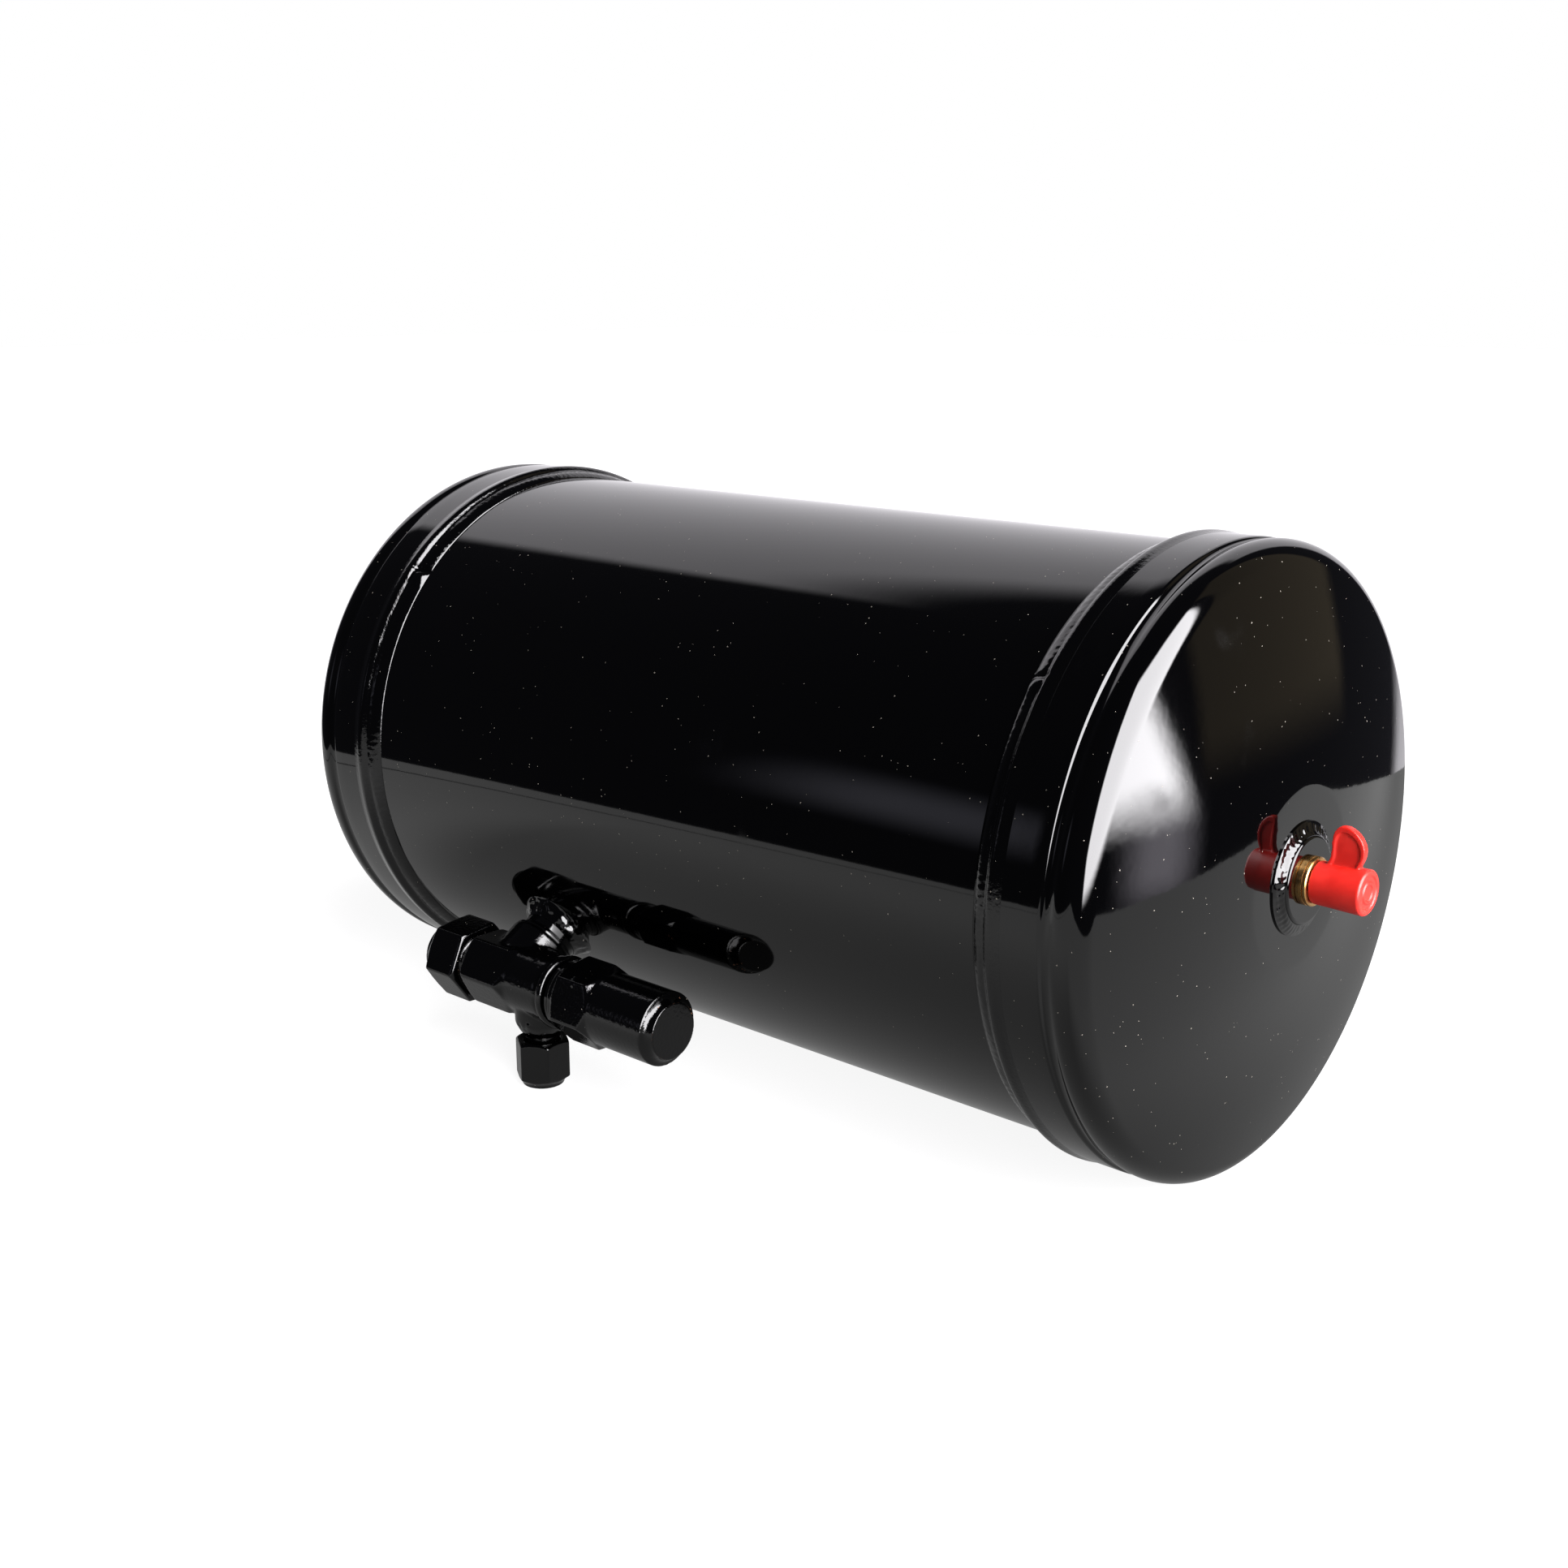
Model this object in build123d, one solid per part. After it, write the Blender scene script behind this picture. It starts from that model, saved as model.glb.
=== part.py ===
"""Small welded pressure reservoir with a service valve, a charging fitting and its caps.

The frame: origin at the middle of the shell on its axis, +X towards the head with the charging
fitting, +Z up, the valve low on the -Y side. Sizes are in millimetres.
"""
import os
from math import asin, cos, radians, sin, sqrt

from build123d import *

# ---- driving dimensions: tank ------------------------------------------------------------
shell_od = 178.0          # rolled tube, outside
shell_wall = 3.0
skirt_span = 266.0        # shell length left in sight between the two head skirts
lap = 14.5                # how far a head's skirt laps over the shell's end
lap_gap = 0.15            # radial gap between shell and skirt
head_wall = 3.0
head_depth = 40.5         # from the skirt's edge to the crown's top
knuckle_r = 7.5           # outside radius where skirt turns into crown
bead_start = 15.5         # rolled stop bead: where it leaves the skirt, from the skirt's edge
bead_width = 6.0
bead_depth = 0.9
weld_leg = 6.5            # girth weld: along the shell
weld_toe = 4.3            # girth weld: how far it wraps onto the skirt
weld_rise = 0.55          # girth weld: how far it stands above the skirt
weld_crown = 0.6          # how far a weld face bulges
weld_lip = 1.0            # the weld's face ends this far short of the skirt's edge
weld_lip_drop = 0.1
weld_top_start = 0.4      # flat top of the weld, from the skirt's edge
weld_top_end = 1.6
weld_toe_crown = 0.15

# ---- driving dimensions: charging end -----------------------------------------------------
boss_od = 25.4
boss_proud = 2.0          # boss face above the crown
boss_len = 13.0
boss_edge_r = 0.8
boss_weld_leg = 3.6
boss_weld_height = 1.5
boss_weld_foot = 0.6      # weld's outer edge below the crown's top
boss_weld_hollow = 0.9
fitting_thread_od = 11.1  # 7/16 in flare thread
fine_pitch = 1.27         # 20 threads per inch
shank_od = 11.0
shank_len = 11.0
collar_od = 14.0
collar_thick = 2.2
collar_groove = 0.4       # groove between the collar's two rings
collar_groove_x = 1.0
collar_edge = 0.3
fitting_bore = 4.0
thread_root = 0.7         # radial drop from a thread's crest to the relief behind it
relief_len = 1.0
nose_len = 1.8            # tapered nose beyond a flare thread
nose_drop = 2.0           # radial drop over the nose
fitting_reach = 14.5      # boss face to the flare nose's end
core_od = 7.5
core_head_len = 4.0
core_len = 14.0
core_barrel_od = 5.6
core_recess = 2.3         # core's outer face below the flare nose
core_chamber_d = 4.4
core_port_d = 2.0
core_floor = 1.5
core_guide_len = 1.0
key_slot = 2.4
key_slot_depth = 0.65
pin_d = 1.8
pin_travel = 1.5
pin_shoulder_d = 4.1
pin_shoulder_len = 0.7
pin_play = 0.1
pin_foot_d = 3.8
pin_foot_len = 0.8
charge_seal_od = 4.2
spring_wire = 0.5
spring_turns = 5.0
spring_play = 0.02        # at each end
spring_pin_gap = 0.2
cap_len = 14.9            # red push-on cap
cap_mouth_od = 12.2
cap_end_od = 13.0
cap_end_wall = 1.6
cap_edge = 0.5
end_ring_od = 9.8         # sunk ring on the cap's end
end_ring_id = 6.0
end_ring_depth = 0.35
end_dimple_d = 4.8
end_dimple_depth = 0.3
end_slope = 0.3
tab_thick = 1.6
tab_rim = 0.4             # the rim stands this far out of the leaf, each side
tab_sink = 0.25           # the leaf starts this far inside the skin
tab_hollow = (0.78, 0.84) # inside of the rim, as shares of the leaf's length and height
tab_hollow_x = 7.9
tab_hollow_lift = 0.2
tab_leaf = [(2.3, 0), (3.7, 5.7), (3.9, 8.6), (5.4, 11.1), (7.3, 11.5), (10.2, 10.4), (12.6, 7.7), (13.2, 4.6),
            (12.1, 1.1), (11.6, 0)]

# ---- driving dimensions: valve, its places along X from the neck's axis ----------------------
valve_standoff = 21.8     # valve axis from the shell's outer surface
valve_angle = 32.1        # below the horizontal, on the -Y side
neck_x = -52.5            # neck's axis on the tank
neck_od = 19.05
neck_id = 12.0
neck_inside = 5.0         # neck end past the shell's outer surface, inwards
neck_weld_leg = 3.8
neck_weld_height = 4.2
neck_weld_foot = 0.7      # weld's outer edge below the shell's top line
neck_weld_crown = 0.35
weld_root = 3.0           # how deep a fillet weld's solid starts, before the wall is cut away
socket_od = 23.0
socket_reach = 13.5       # socket mouth from the valve axis
socket_depth = 5.0
braze_leg = 1.6
braze_hollow = 0.3
dip_tube_wall = 1.2
dip_tube_start = 6.0      # its outer end past the shell's outer surface
dip_tube_bend = 0.56      # where it turns down, as a share of the shell's radius
dip_tube_r = 20.0
dip_tube_floor = 10.0     # its open end above the shell's bottom
bar_af = 22.0             # hexagon bar across flats
bar_left = -15.1
bar_right = 5.5
bar_chamfer = (1.5, 1.6)  # at the left end, along and across
bar_shoulder = 2.6        # at the right end, down to the barrel
barrel_od = 22.0
barrel_relief = 0.8       # groove in front of the rib
rib_od = 24.0             # round rib behind the stem cap
rib_left = 21.9
rib_right = 24.9
rib_edge = 0.5
cap_thread_od = 20.0
cap_thread_end = 36.5
cap_thread_pitch = 1.5
cap_thread_root = 1.0
outlet_thread_od = 19.05  # 3/4 in flare thread
outlet_pitch = 1.5875     # 16 threads per inch
outlet_relief_od = 16.5
outlet_nose = -31.5
outlet_nose_len = 2.4
outlet_nose_drop = 3.2
outlet_bore = 11.0
chamber_d = 14.0          # valve chamber and gland bore
seat_face = -7.5
seat_thick = 4.0
seat_bore = 9.0
seat_lip = 0.8
seat_lip_height = 0.6
back_seat_face = 4.5
back_seat_thick = 4.0
port_x = 11.8             # gauge port
port_boss_od = 17.0
port_root_od = 13.4
port_neck_od = 11.7
port_boss_reach = 12.5    # from the valve axis, downwards
port_cone_reach = 15.9
port_bore = 4.0
washer_left = 15.0
washer_thick = 1.0
packing_ring = 2.0
packing_count = 3
packing_play = 0.1        # between one ring and the next
gland_end = 33.5
gland_slot = 2.2
gland_slot_depth = 2.0
disc_od = 12.0
disc_thick = 3.5
disc_socket = 1.0         # disc's floor under the stem's tip
disc_gap = 0.05           # disc to seat when shut
stem_d = 8.0
stem_tip_d = 6.0
stem_tip_out = 0.6        # stem's shoulder behind the disc
stem_tip_chamfer = 0.4
stem_end = 54.5
stem_square = 6.35
stem_square_len = 9.0

# ---- driving dimensions: nuts and caps -------------------------------------------------------
outlet_nut_af = 23.8
outlet_nut_open = -16.9
outlet_nut_len = 17.8
outlet_nut_turn = -6.0    # how the hexagon is left standing, in degrees
outlet_nut_wall = 1.8
outlet_nut_round = 4.2
gauge_nut_af = 15.9
gauge_nut_reach = 18.5    # its open face from the valve axis, downwards
gauge_nut_wall = 1.8
gauge_nut_round = 2.6
nut_chamfer = (0.9, 1.3)  # along and across, at the open face
nut_mouth = 1.8           # how much the bore opens at its mouth
nut_mouth_len = 0.8
stem_cap_af = 23.8
stem_cap_turn = 14.0
stem_cap_open = 27.5
stem_cap_hex_start = 30.2
stem_cap_hex_end = 45.4
stem_cap_hex_chamfer = (1.2, 1.6)
stem_cap_hex_shoulder = (2.4, 1.8)
stem_cap_end = 72.5
stem_cap_od = 23.4
stem_cap_edge = 0.6
stem_cap_round = 2.8
stem_cap_inner_od = 17.0
stem_cap_wall = 3.5
seal_thick = 1.2
outlet_seal_trim = 2.0    # blanking discs are this much smaller than the thread
gauge_seal_trim = 1.2
gasket_thick = 1.0
gasket_width = 1.2

# ---- clearances -------------------------------------------------------------------------------
run_gap = 0.05            # a turning or sliding fit, radial
fit_gap = 0.05            # a pressed, brazed or screwed fit that stays put, radial
face_gap = 0.05           # faces of two bodies that bear on each other
thread_gap = 0.10         # male thread crest to a cap's bore, radial
ridge_depth = 0.55        # a thread ridge's height, as a share of the pitch
corner_room = 0.2         # a turned outline passes this far outside a hexagon's corners
cap_seat_gap = 0.2        # push-on cap to the fitting's collar

# ---- places worked out from the sizes ------------------------------------------------------------
shell_r = shell_od / 2
shell_len = skirt_span + 2 * lap
skirt_r = shell_r + lap_gap + head_wall
rest_r = skirt_r + weld_rise                 # the tank lies on its girth welds
skirt_edge = skirt_span / 2
knuckle_start = bead_start + bead_width
crown_top = skirt_edge + head_depth
boss_face = crown_top + boss_proud
valve_reach = shell_r + valve_standoff
valve_y = -valve_reach * cos(radians(valve_angle))
valve_z = -valve_reach * sin(radians(valve_angle))
inward = (0, cos(radians(valve_angle)), sin(radians(valve_angle)))
outward = (0, -inward[1], -inward[2])
packing_start = washer_left + washer_thick
packing_end = packing_start + packing_count * packing_ring
gauge_nut_len = valve_z - gauge_nut_reach + rest_r   # its end face stands level with the girth welds
gauge_nose_reach = gauge_nut_reach + gauge_nut_len - gauge_nut_wall - seal_thick - 2 * face_gap
core_face = boss_face + fitting_reach - core_recess
core_inner = core_face - core_len

neck_frame = Plane(origin=(neck_x, 0, 0), x_dir=outward, z_dir=(1, 0, 0))
outlet_frame = Plane(origin=(neck_x + outlet_nut_open, valve_y, valve_z), x_dir=(-1, 0, 0), z_dir=(0, 0, 1))
gauge_frame = Plane(
    origin=(neck_x + port_x, valve_y, valve_z - gauge_nut_reach), x_dir=(0, 0, -1), z_dir=(1, 0, 0))
port_frame = Plane(origin=(port_x, 0, 0), x_dir=(0, 0, -1), z_dir=(1, 0, 0))
socket_frame = Plane(origin=(0, 0, 0), x_dir=inward, z_dir=(1, 0, 0))
valve_place = Pos(neck_x, valve_y, valve_z)


# ---- shared shapes -----------------------------------------------------------------------------
def turned(*points):
    """A closed outline of (x, radius) points turned about the X axis."""
    return revolve(make_face(Polyline(*points, close=True)), Axis.X, 360)


def rod(x0, x1, d):
    return turned((x0, 0), (x1, 0), (x1, d / 2), (x0, d / 2))


def tube(x0, x1, od, bore):
    return turned((x0, bore / 2), (x1, bore / 2), (x1, od / 2), (x0, od / 2))


def hexagon(x0, x1, af, turn=0.0):
    """A hexagon bar on the X axis with corners at +Y and -Y before it is turned."""
    outline = Plane.YZ.offset(x0) * RegularPolygon(af / sqrt(3), 6, rotation=turn)
    return extrude(outline, amount=x1 - x0)


def thread_ridges(x0, x1, od, pitch):
    """Outline points of thread ridges along X from x0 to x1, either way along the axis."""
    step = pitch if x1 > x0 else -pitch
    depth = ridge_depth * pitch
    count = int(abs(x1 - x0) / pitch)
    points = []
    for i in range(count):
        points.append((x0 + i * step, od / 2 - depth))
        points.append((x0 + (i + 0.5) * step, od / 2))
    points.append((x0 + count * step, od / 2 - depth))
    return points


def s_bend(a, b):
    """Two tangent arcs from a to b, level with the axis at both ends."""
    middle = ((a[0] + b[0]) / 2, (a[1] + b[1]) / 2)
    first = TangentArc(a, middle, tangent=(1, 0))
    return [first, TangentArc(middle, b, tangent=first % 1)]


def bead_face(a, b, bulge):
    """A bulging weld face from a to b: an arc that stands out to the left of a-to-b."""
    dx, dy = b[0] - a[0], b[1] - a[1]
    length = sqrt(dx * dx + dy * dy)
    top = ((a[0] + b[0]) / 2 - dy / length * bulge, (a[1] + b[1]) / 2 + dx / length * bulge)
    return ThreePointArc(a, top, b)


# ---- tank ------------------------------------------------------------------------------------
def make_shell():
    body = tube(-shell_len / 2, shell_len / 2, shell_od, shell_od - 2 * shell_wall)
    return body - neck_frame * rod(0, shell_r + 5, neck_od + 2 * fit_gap)


def head_form(inset):
    """The near head's outer form as a solid, or its inner form when inset by the wall."""
    r = skirt_r - inset
    turn_r = knuckle_r - inset
    rise = head_depth - knuckle_start - inset
    centre_r = r - turn_r
    crown_r = (rise ** 2 + centre_r ** 2 - turn_r ** 2) / (2 * (rise - turn_r))
    lean = asin(centre_r / (crown_r - turn_r))   # from the axis, where knuckle meets crown
    start = skirt_edge + knuckle_start
    top = skirt_edge + head_depth - inset
    crown_x = top - crown_r
    low = (skirt_edge + bead_start + bead_width / 2, r - bead_depth)
    half = radians(90) / 2 + lean / 2
    knuckle_mid = (start + turn_r * cos(half), centre_r + turn_r * sin(half))
    knuckle_end = (start + turn_r * cos(lean), centre_r + turn_r * sin(lean))
    crown_mid = (crown_x + crown_r * cos(lean / 2), crown_r * sin(lean / 2))
    edges = [Line((skirt_edge, r), (skirt_edge + bead_start, r))]
    edges += s_bend((skirt_edge + bead_start, r), low)
    edges += s_bend(low, (start, r))
    edges += [
        ThreePointArc((start, r), knuckle_mid, knuckle_end),
        ThreePointArc(knuckle_end, crown_mid, (top, 0)),
        Line((top, 0), (skirt_edge, 0)),
        Line((skirt_edge, 0), (skirt_edge, r)),
    ]
    return revolve(make_face(edges), Axis.X, 360)


def make_head_far():
    return mirror(head_form(0) - head_form(head_wall), Plane.YZ)


def make_head_near():
    return head_form(0) - head_form(head_wall) - rod(crown_top - boss_len, boss_face, boss_od + 2 * fit_gap)


def make_girth_weld():
    """Fillet weld between shell and near skirt, with a toe that wraps onto the skirt."""
    lip = (skirt_edge - weld_lip, skirt_r - weld_lip_drop)
    shoulder = (skirt_edge + weld_top_start, rest_r)
    top_end = (skirt_edge + weld_top_end, rest_r)
    outline = [
        bead_face((skirt_edge - weld_leg, shell_r), lip, weld_crown),
        Line(lip, shoulder),
        Line(shoulder, top_end),
        bead_face(top_end, (skirt_edge + weld_toe, skirt_r), weld_toe_crown),
        Line((skirt_edge + weld_toe, skirt_r), (skirt_edge, skirt_r)),
        Line((skirt_edge, skirt_r), (skirt_edge, shell_r)),
        Line((skirt_edge, shell_r), (skirt_edge - weld_leg, shell_r)),
    ]
    return revolve(make_face(outline), Axis.X, 360)


# ---- charging end --------------------------------------------------------------------------------
def make_end_boss():
    boss = rod(boss_face - boss_len, boss_face, boss_od)
    boss = fillet(boss.edges().sort_by(Axis.X)[-1], boss_edge_r)
    return boss - rod(boss_face - boss_len - 1, boss_face + 1, shank_od + 2 * fit_gap)


def make_boss_weld():
    r = boss_od / 2 + fit_gap
    foot = crown_top - head_wall
    edge = (crown_top - boss_weld_foot, r + boss_weld_leg)
    outline = [
        bead_face((crown_top + boss_weld_height, r), edge, -boss_weld_hollow),
        Line(edge, (foot, r + boss_weld_leg)),
        Line((foot, r + boss_weld_leg), (foot, r)),
        Line((foot, r), (crown_top + boss_weld_height, r)),
    ]
    return revolve(make_face(outline), Axis.X, 360) - head_form(0)


def make_charge_body():
    nose = boss_face + fitting_reach
    collar_end = boss_face + collar_thick
    relief = collar_end + relief_len
    groove_x = boss_face + collar_groove_x
    groove_half = collar_groove / 2
    outside = [
        (boss_face - shank_len, shank_od / 2),
        (boss_face, shank_od / 2),
        (boss_face, collar_od / 2),
        (groove_x - groove_half, collar_od / 2),
        (groove_x, collar_od / 2 - collar_groove),
        (groove_x + groove_half, collar_od / 2),
        (collar_end - collar_edge, collar_od / 2),
        (collar_end, collar_od / 2 - collar_edge),
        (collar_end, fitting_thread_od / 2 - thread_root),
        *thread_ridges(relief, nose - nose_len, fitting_thread_od, fine_pitch),
        (nose, fitting_thread_od / 2 - nose_drop),
    ]
    head_seat = core_face - core_head_len
    barrel_r = core_barrel_od / 2 + fit_gap
    barrel_floor = core_inner - pin_travel - 2 * (seal_thick + pin_foot_len) + 1.0
    inside = [
        (nose, core_od / 2 + fit_gap),
        (head_seat, core_od / 2 + fit_gap),
        (head_seat, barrel_r),
        (barrel_floor, barrel_r),
        (barrel_floor, fitting_bore / 2),
        (boss_face - shank_len, fitting_bore / 2),
    ]
    return turned(*outside, *inside)


def make_charge_core():
    barrel_end = core_face - core_head_len
    outer = turned(
        (core_inner, core_port_d / 2),
        (core_inner, core_barrel_od / 2),
        (barrel_end, core_barrel_od / 2),
        (barrel_end, core_od / 2),
        (core_face, core_od / 2),
        (core_face, pin_d / 2 + run_gap),
        (barrel_end - core_guide_len, pin_d / 2 + run_gap),
        (barrel_end - core_guide_len, core_chamber_d / 2),
        (core_inner + core_floor, core_chamber_d / 2),
        (core_inner + core_floor, core_port_d / 2),
    )
    slot = Pos(core_face, 0, 0) * Box(key_slot, core_od + 1, 2 * key_slot_depth)
    return outer - slot


def make_charge_pin():
    """Pin with the shoulder that its spring pushes on, and a foot that carries the seal."""
    shoulder = core_face - core_head_len - core_guide_len - pin_play
    foot = core_inner - face_gap - seal_thick
    return turned(
        (foot - pin_foot_len, 0),
        (core_face, 0),
        (core_face, pin_d / 2),
        (shoulder, pin_d / 2),
        (shoulder, pin_shoulder_d / 2),
        (shoulder - pin_shoulder_len, pin_shoulder_d / 2),
        (shoulder - pin_shoulder_len, pin_d / 2),
        (foot, pin_d / 2),
        (foot, pin_foot_d / 2),
        (foot - pin_foot_len, pin_foot_d / 2),
    )


def make_charge_seal():
    foot = core_inner - face_gap - seal_thick
    return tube(foot, core_inner - face_gap, charge_seal_od, pin_d)


def make_charge_spring():
    shoulder = core_face - core_head_len - core_guide_len - pin_play
    start = core_inner + core_floor + spring_wire / 2 + spring_play
    end = shoulder - pin_shoulder_len - spring_wire / 2 - spring_play
    coil_r = pin_d / 2 + run_gap + spring_wire / 2 + spring_pin_gap
    path = Helix(pitch=(end - start) / spring_turns, height=end - start, radius=coil_r)
    wire = sweep(Plane(path @ 0, z_dir=path % 0) * Circle(spring_wire / 2), path=path)
    return Plane(origin=(start, 0, 0), z_dir=(1, 0, 0)) * wire


def make_dust_cap():
    mouth = boss_face + collar_thick + cap_seat_gap
    end = mouth + cap_len
    bore = fitting_thread_od + 2 * thread_gap
    skin = turned(
        (mouth, bore / 2),
        (mouth, cap_mouth_od / 2),
        (end - cap_edge, cap_end_od / 2),
        (end, cap_end_od / 2 - cap_edge),
        (end, end_ring_od / 2),
        (end - end_ring_depth, end_ring_od / 2 - end_slope),
        (end - end_ring_depth, end_ring_id / 2 + end_slope),
        (end, end_ring_id / 2),
        (end, end_dimple_d / 2),
        (end - end_dimple_depth, end_dimple_d / 2 - end_slope),
        (end - end_dimple_depth, 0),
        (end - cap_end_wall, 0),
        (end - cap_end_wall, bore / 2),
    )
    root = cap_mouth_od / 2 - tab_sink
    outline = [(mouth + x, root + z) for x, z in tab_leaf]
    edge = [Spline(*outline), Line(outline[-1], outline[0])]
    tab = extrude(Plane.XZ * make_face(edge), amount=tab_thick / 2, both=True)
    rim = extrude(Plane.XZ * make_face(edge), amount=tab_thick / 2 + tab_rim, both=True)
    middle = mouth + tab_hollow_x
    hollow = [
        (middle + (x - tab_hollow_x) * tab_hollow[0], root + tab_hollow_lift + z * tab_hollow[1])
        for x, z in tab_leaf
    ]
    inner = [Spline(*hollow), Line(hollow[-1], hollow[0])]
    rim -= extrude(Plane.XZ * make_face(inner), amount=tab_thick, both=True)
    core = rod(mouth - 1, end - cap_end_wall, bore)
    return skin + (tab + rim - core)


# ---- neck -----------------------------------------------------------------------------------------
def make_neck():
    return neck_frame * tube(shell_r - neck_inside, valve_reach - socket_reach + socket_depth, neck_od, neck_id)


def make_neck_weld():
    """Fillet weld from the shell's round surface up the neck."""
    r = neck_od / 2 + fit_gap
    foot = shell_r - weld_root
    edge = (shell_r - neck_weld_foot, r + neck_weld_leg)
    outline = [
        bead_face(edge, (shell_r + neck_weld_height, r), neck_weld_crown),
        Line((shell_r + neck_weld_height, r), (foot, r)),
        Line((foot, r), (foot, r + neck_weld_leg)),
        Line((foot, r + neck_weld_leg), edge),
    ]
    ring = neck_frame * revolve(make_face(outline), Axis.X, 360)
    return ring - rod(neck_x - shell_r, neck_x + shell_r, shell_od)


def make_neck_braze():
    mouth = valve_reach - socket_reach
    r = neck_od / 2 + fit_gap
    outline = [
        bead_face((mouth - braze_leg, r), (mouth, r + braze_leg), -braze_hollow),
        Line((mouth, r + braze_leg), (mouth, r)),
        Line((mouth, r), (mouth - braze_leg, r)),
    ]
    return neck_frame * revolve(make_face(outline), Axis.X, 360)


def make_dip_tube():
    """Pick-up tube from the neck's bore to just above the bottom of the shell."""
    od = neck_id - 2 * fit_gap
    start = shell_r + dip_tube_start
    bend = shell_r * dip_tube_bend
    low = (neck_x, 0, -(shell_r - shell_wall - dip_tube_floor))
    points = [
        (neck_x, outward[1] * start, outward[2] * start),
        (neck_x, outward[1] * bend, outward[2] * bend),
        low,
    ]
    path = FilletPolyline(*points, radius=dip_tube_r)
    section = Plane(path @ 0, z_dir=path % 0)
    return sweep(section * (Circle(od / 2) - Circle(od / 2 - dip_tube_wall)), path=path)


# ---- valve ------------------------------------------------------------------------------------------
def make_valve_body():
    thread_start = outlet_nut_open - nut_mouth_len - run_gap
    inset = bar_chamfer[0]
    flare = turned(
        (bar_left + inset, 0),
        (bar_left + inset, outlet_relief_od / 2),
        (thread_start, outlet_relief_od / 2),
        *thread_ridges(thread_start, outlet_nose + outlet_nose_len, outlet_thread_od, outlet_pitch),
        (outlet_nose, outlet_thread_od / 2 - outlet_nose_drop),
        (outlet_nose, 0),
    )
    corner = bar_af / sqrt(3)
    chamfers = turned(
        (bar_left, 0),
        (bar_left, corner - bar_chamfer[1]),
        (bar_left + bar_chamfer[0], corner + corner_room),
        (bar_right - bar_shoulder, corner + corner_room),
        (bar_right, barrel_od / 2),
        (bar_right, 0),
    )
    bar = hexagon(bar_left, bar_right, bar_af) & chamfers
    barrel = turned(
        (bar_right - bar_shoulder - 1.0, 0),
        (bar_right - bar_shoulder - 1.0, barrel_od / 2 - fit_gap),
        (rib_left - 2 * rib_edge, barrel_od / 2 - fit_gap),
        (rib_left - rib_edge, barrel_od / 2 - barrel_relief),
        (rib_left, barrel_od / 2 - barrel_relief),
        (rib_left + rib_edge, rib_od / 2),
        (rib_right - rib_edge, rib_od / 2),
        (rib_right, rib_od / 2 - rib_edge),
        (rib_right, cap_thread_od / 2 - cap_thread_root),
        (stem_cap_open, cap_thread_od / 2 - cap_thread_root),
        *thread_ridges(stem_cap_open, cap_thread_end - cap_thread_root, cap_thread_od, cap_thread_pitch),
        (cap_thread_end, cap_thread_od / 2 - cap_thread_root),
        (cap_thread_end, 0),
    )
    port = port_frame * turned(
        (0, 0),
        (0, port_boss_od / 2),
        (port_boss_reach, port_boss_od / 2),
        (port_cone_reach, port_root_od / 2),
        (port_cone_reach, port_neck_od / 2),
        (gauge_nut_reach, port_neck_od / 2),
        *thread_ridges(
            gauge_nut_reach + nut_mouth_len, gauge_nose_reach - nose_len, fitting_thread_od, fine_pitch),
        (gauge_nose_reach, fitting_thread_od / 2 - nose_drop),
        (gauge_nose_reach, 0),
    )
    body = flare + bar + barrel + port + socket_frame * rod(0, socket_reach, socket_od)
    body -= rod(outlet_nose - 1, seat_face, outlet_bore)
    body -= rod(seat_face - seat_thick, cap_thread_end + 1, chamber_d + 2 * fit_gap)
    body -= socket_frame * rod(socket_reach - socket_depth, socket_reach + 1, neck_od + 2 * fit_gap)
    body -= socket_frame * rod(0, socket_reach, seat_bore)
    body -= port_frame * rod(0, gauge_nose_reach + 1, port_bore)
    return valve_place * body


def make_seat_ring():
    return valve_place * turned(
        (seat_face - seat_thick, seat_bore / 2),
        (seat_face, seat_bore / 2),
        (seat_face, seat_bore / 2 + seat_lip),
        (seat_face - seat_lip_height, seat_bore / 2 + seat_lip + seat_lip_height),
        (seat_face - seat_lip_height, chamber_d / 2),
        (seat_face - seat_thick, chamber_d / 2),
    )


def make_back_seat():
    return valve_place * tube(back_seat_face, back_seat_face + back_seat_thick, chamber_d, stem_d + 2 * run_gap)


def make_packing_washer():
    return valve_place * tube(washer_left, washer_left + washer_thick, chamber_d, stem_d + 2 * run_gap)


def make_packing():
    rings = [
        tube(packing_start + i * packing_ring, packing_start + (i + 1) * packing_ring - packing_play,
             chamber_d, stem_d + 2 * run_gap)
        for i in range(packing_count)
    ]
    return valve_place * Compound(rings)


def make_gland_nut():
    """Screwed gland with two key slots across its outer face."""
    nut = tube(packing_end, gland_end, chamber_d, stem_d + 2 * run_gap)
    nut -= Pos(gland_end, 0, 0) * Box(2 * gland_slot_depth, chamber_d + 2, gland_slot)
    return valve_place * nut


def make_seat_disc():
    front = seat_face + disc_gap
    disc = rod(front, front + disc_thick, disc_od)
    disc = chamfer(disc.edges().filter_by(GeomType.CIRCLE), stem_tip_chamfer)
    return valve_place * (disc - rod(front + disc_socket, front + disc_thick + 1, stem_tip_d + 2 * run_gap))


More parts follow.
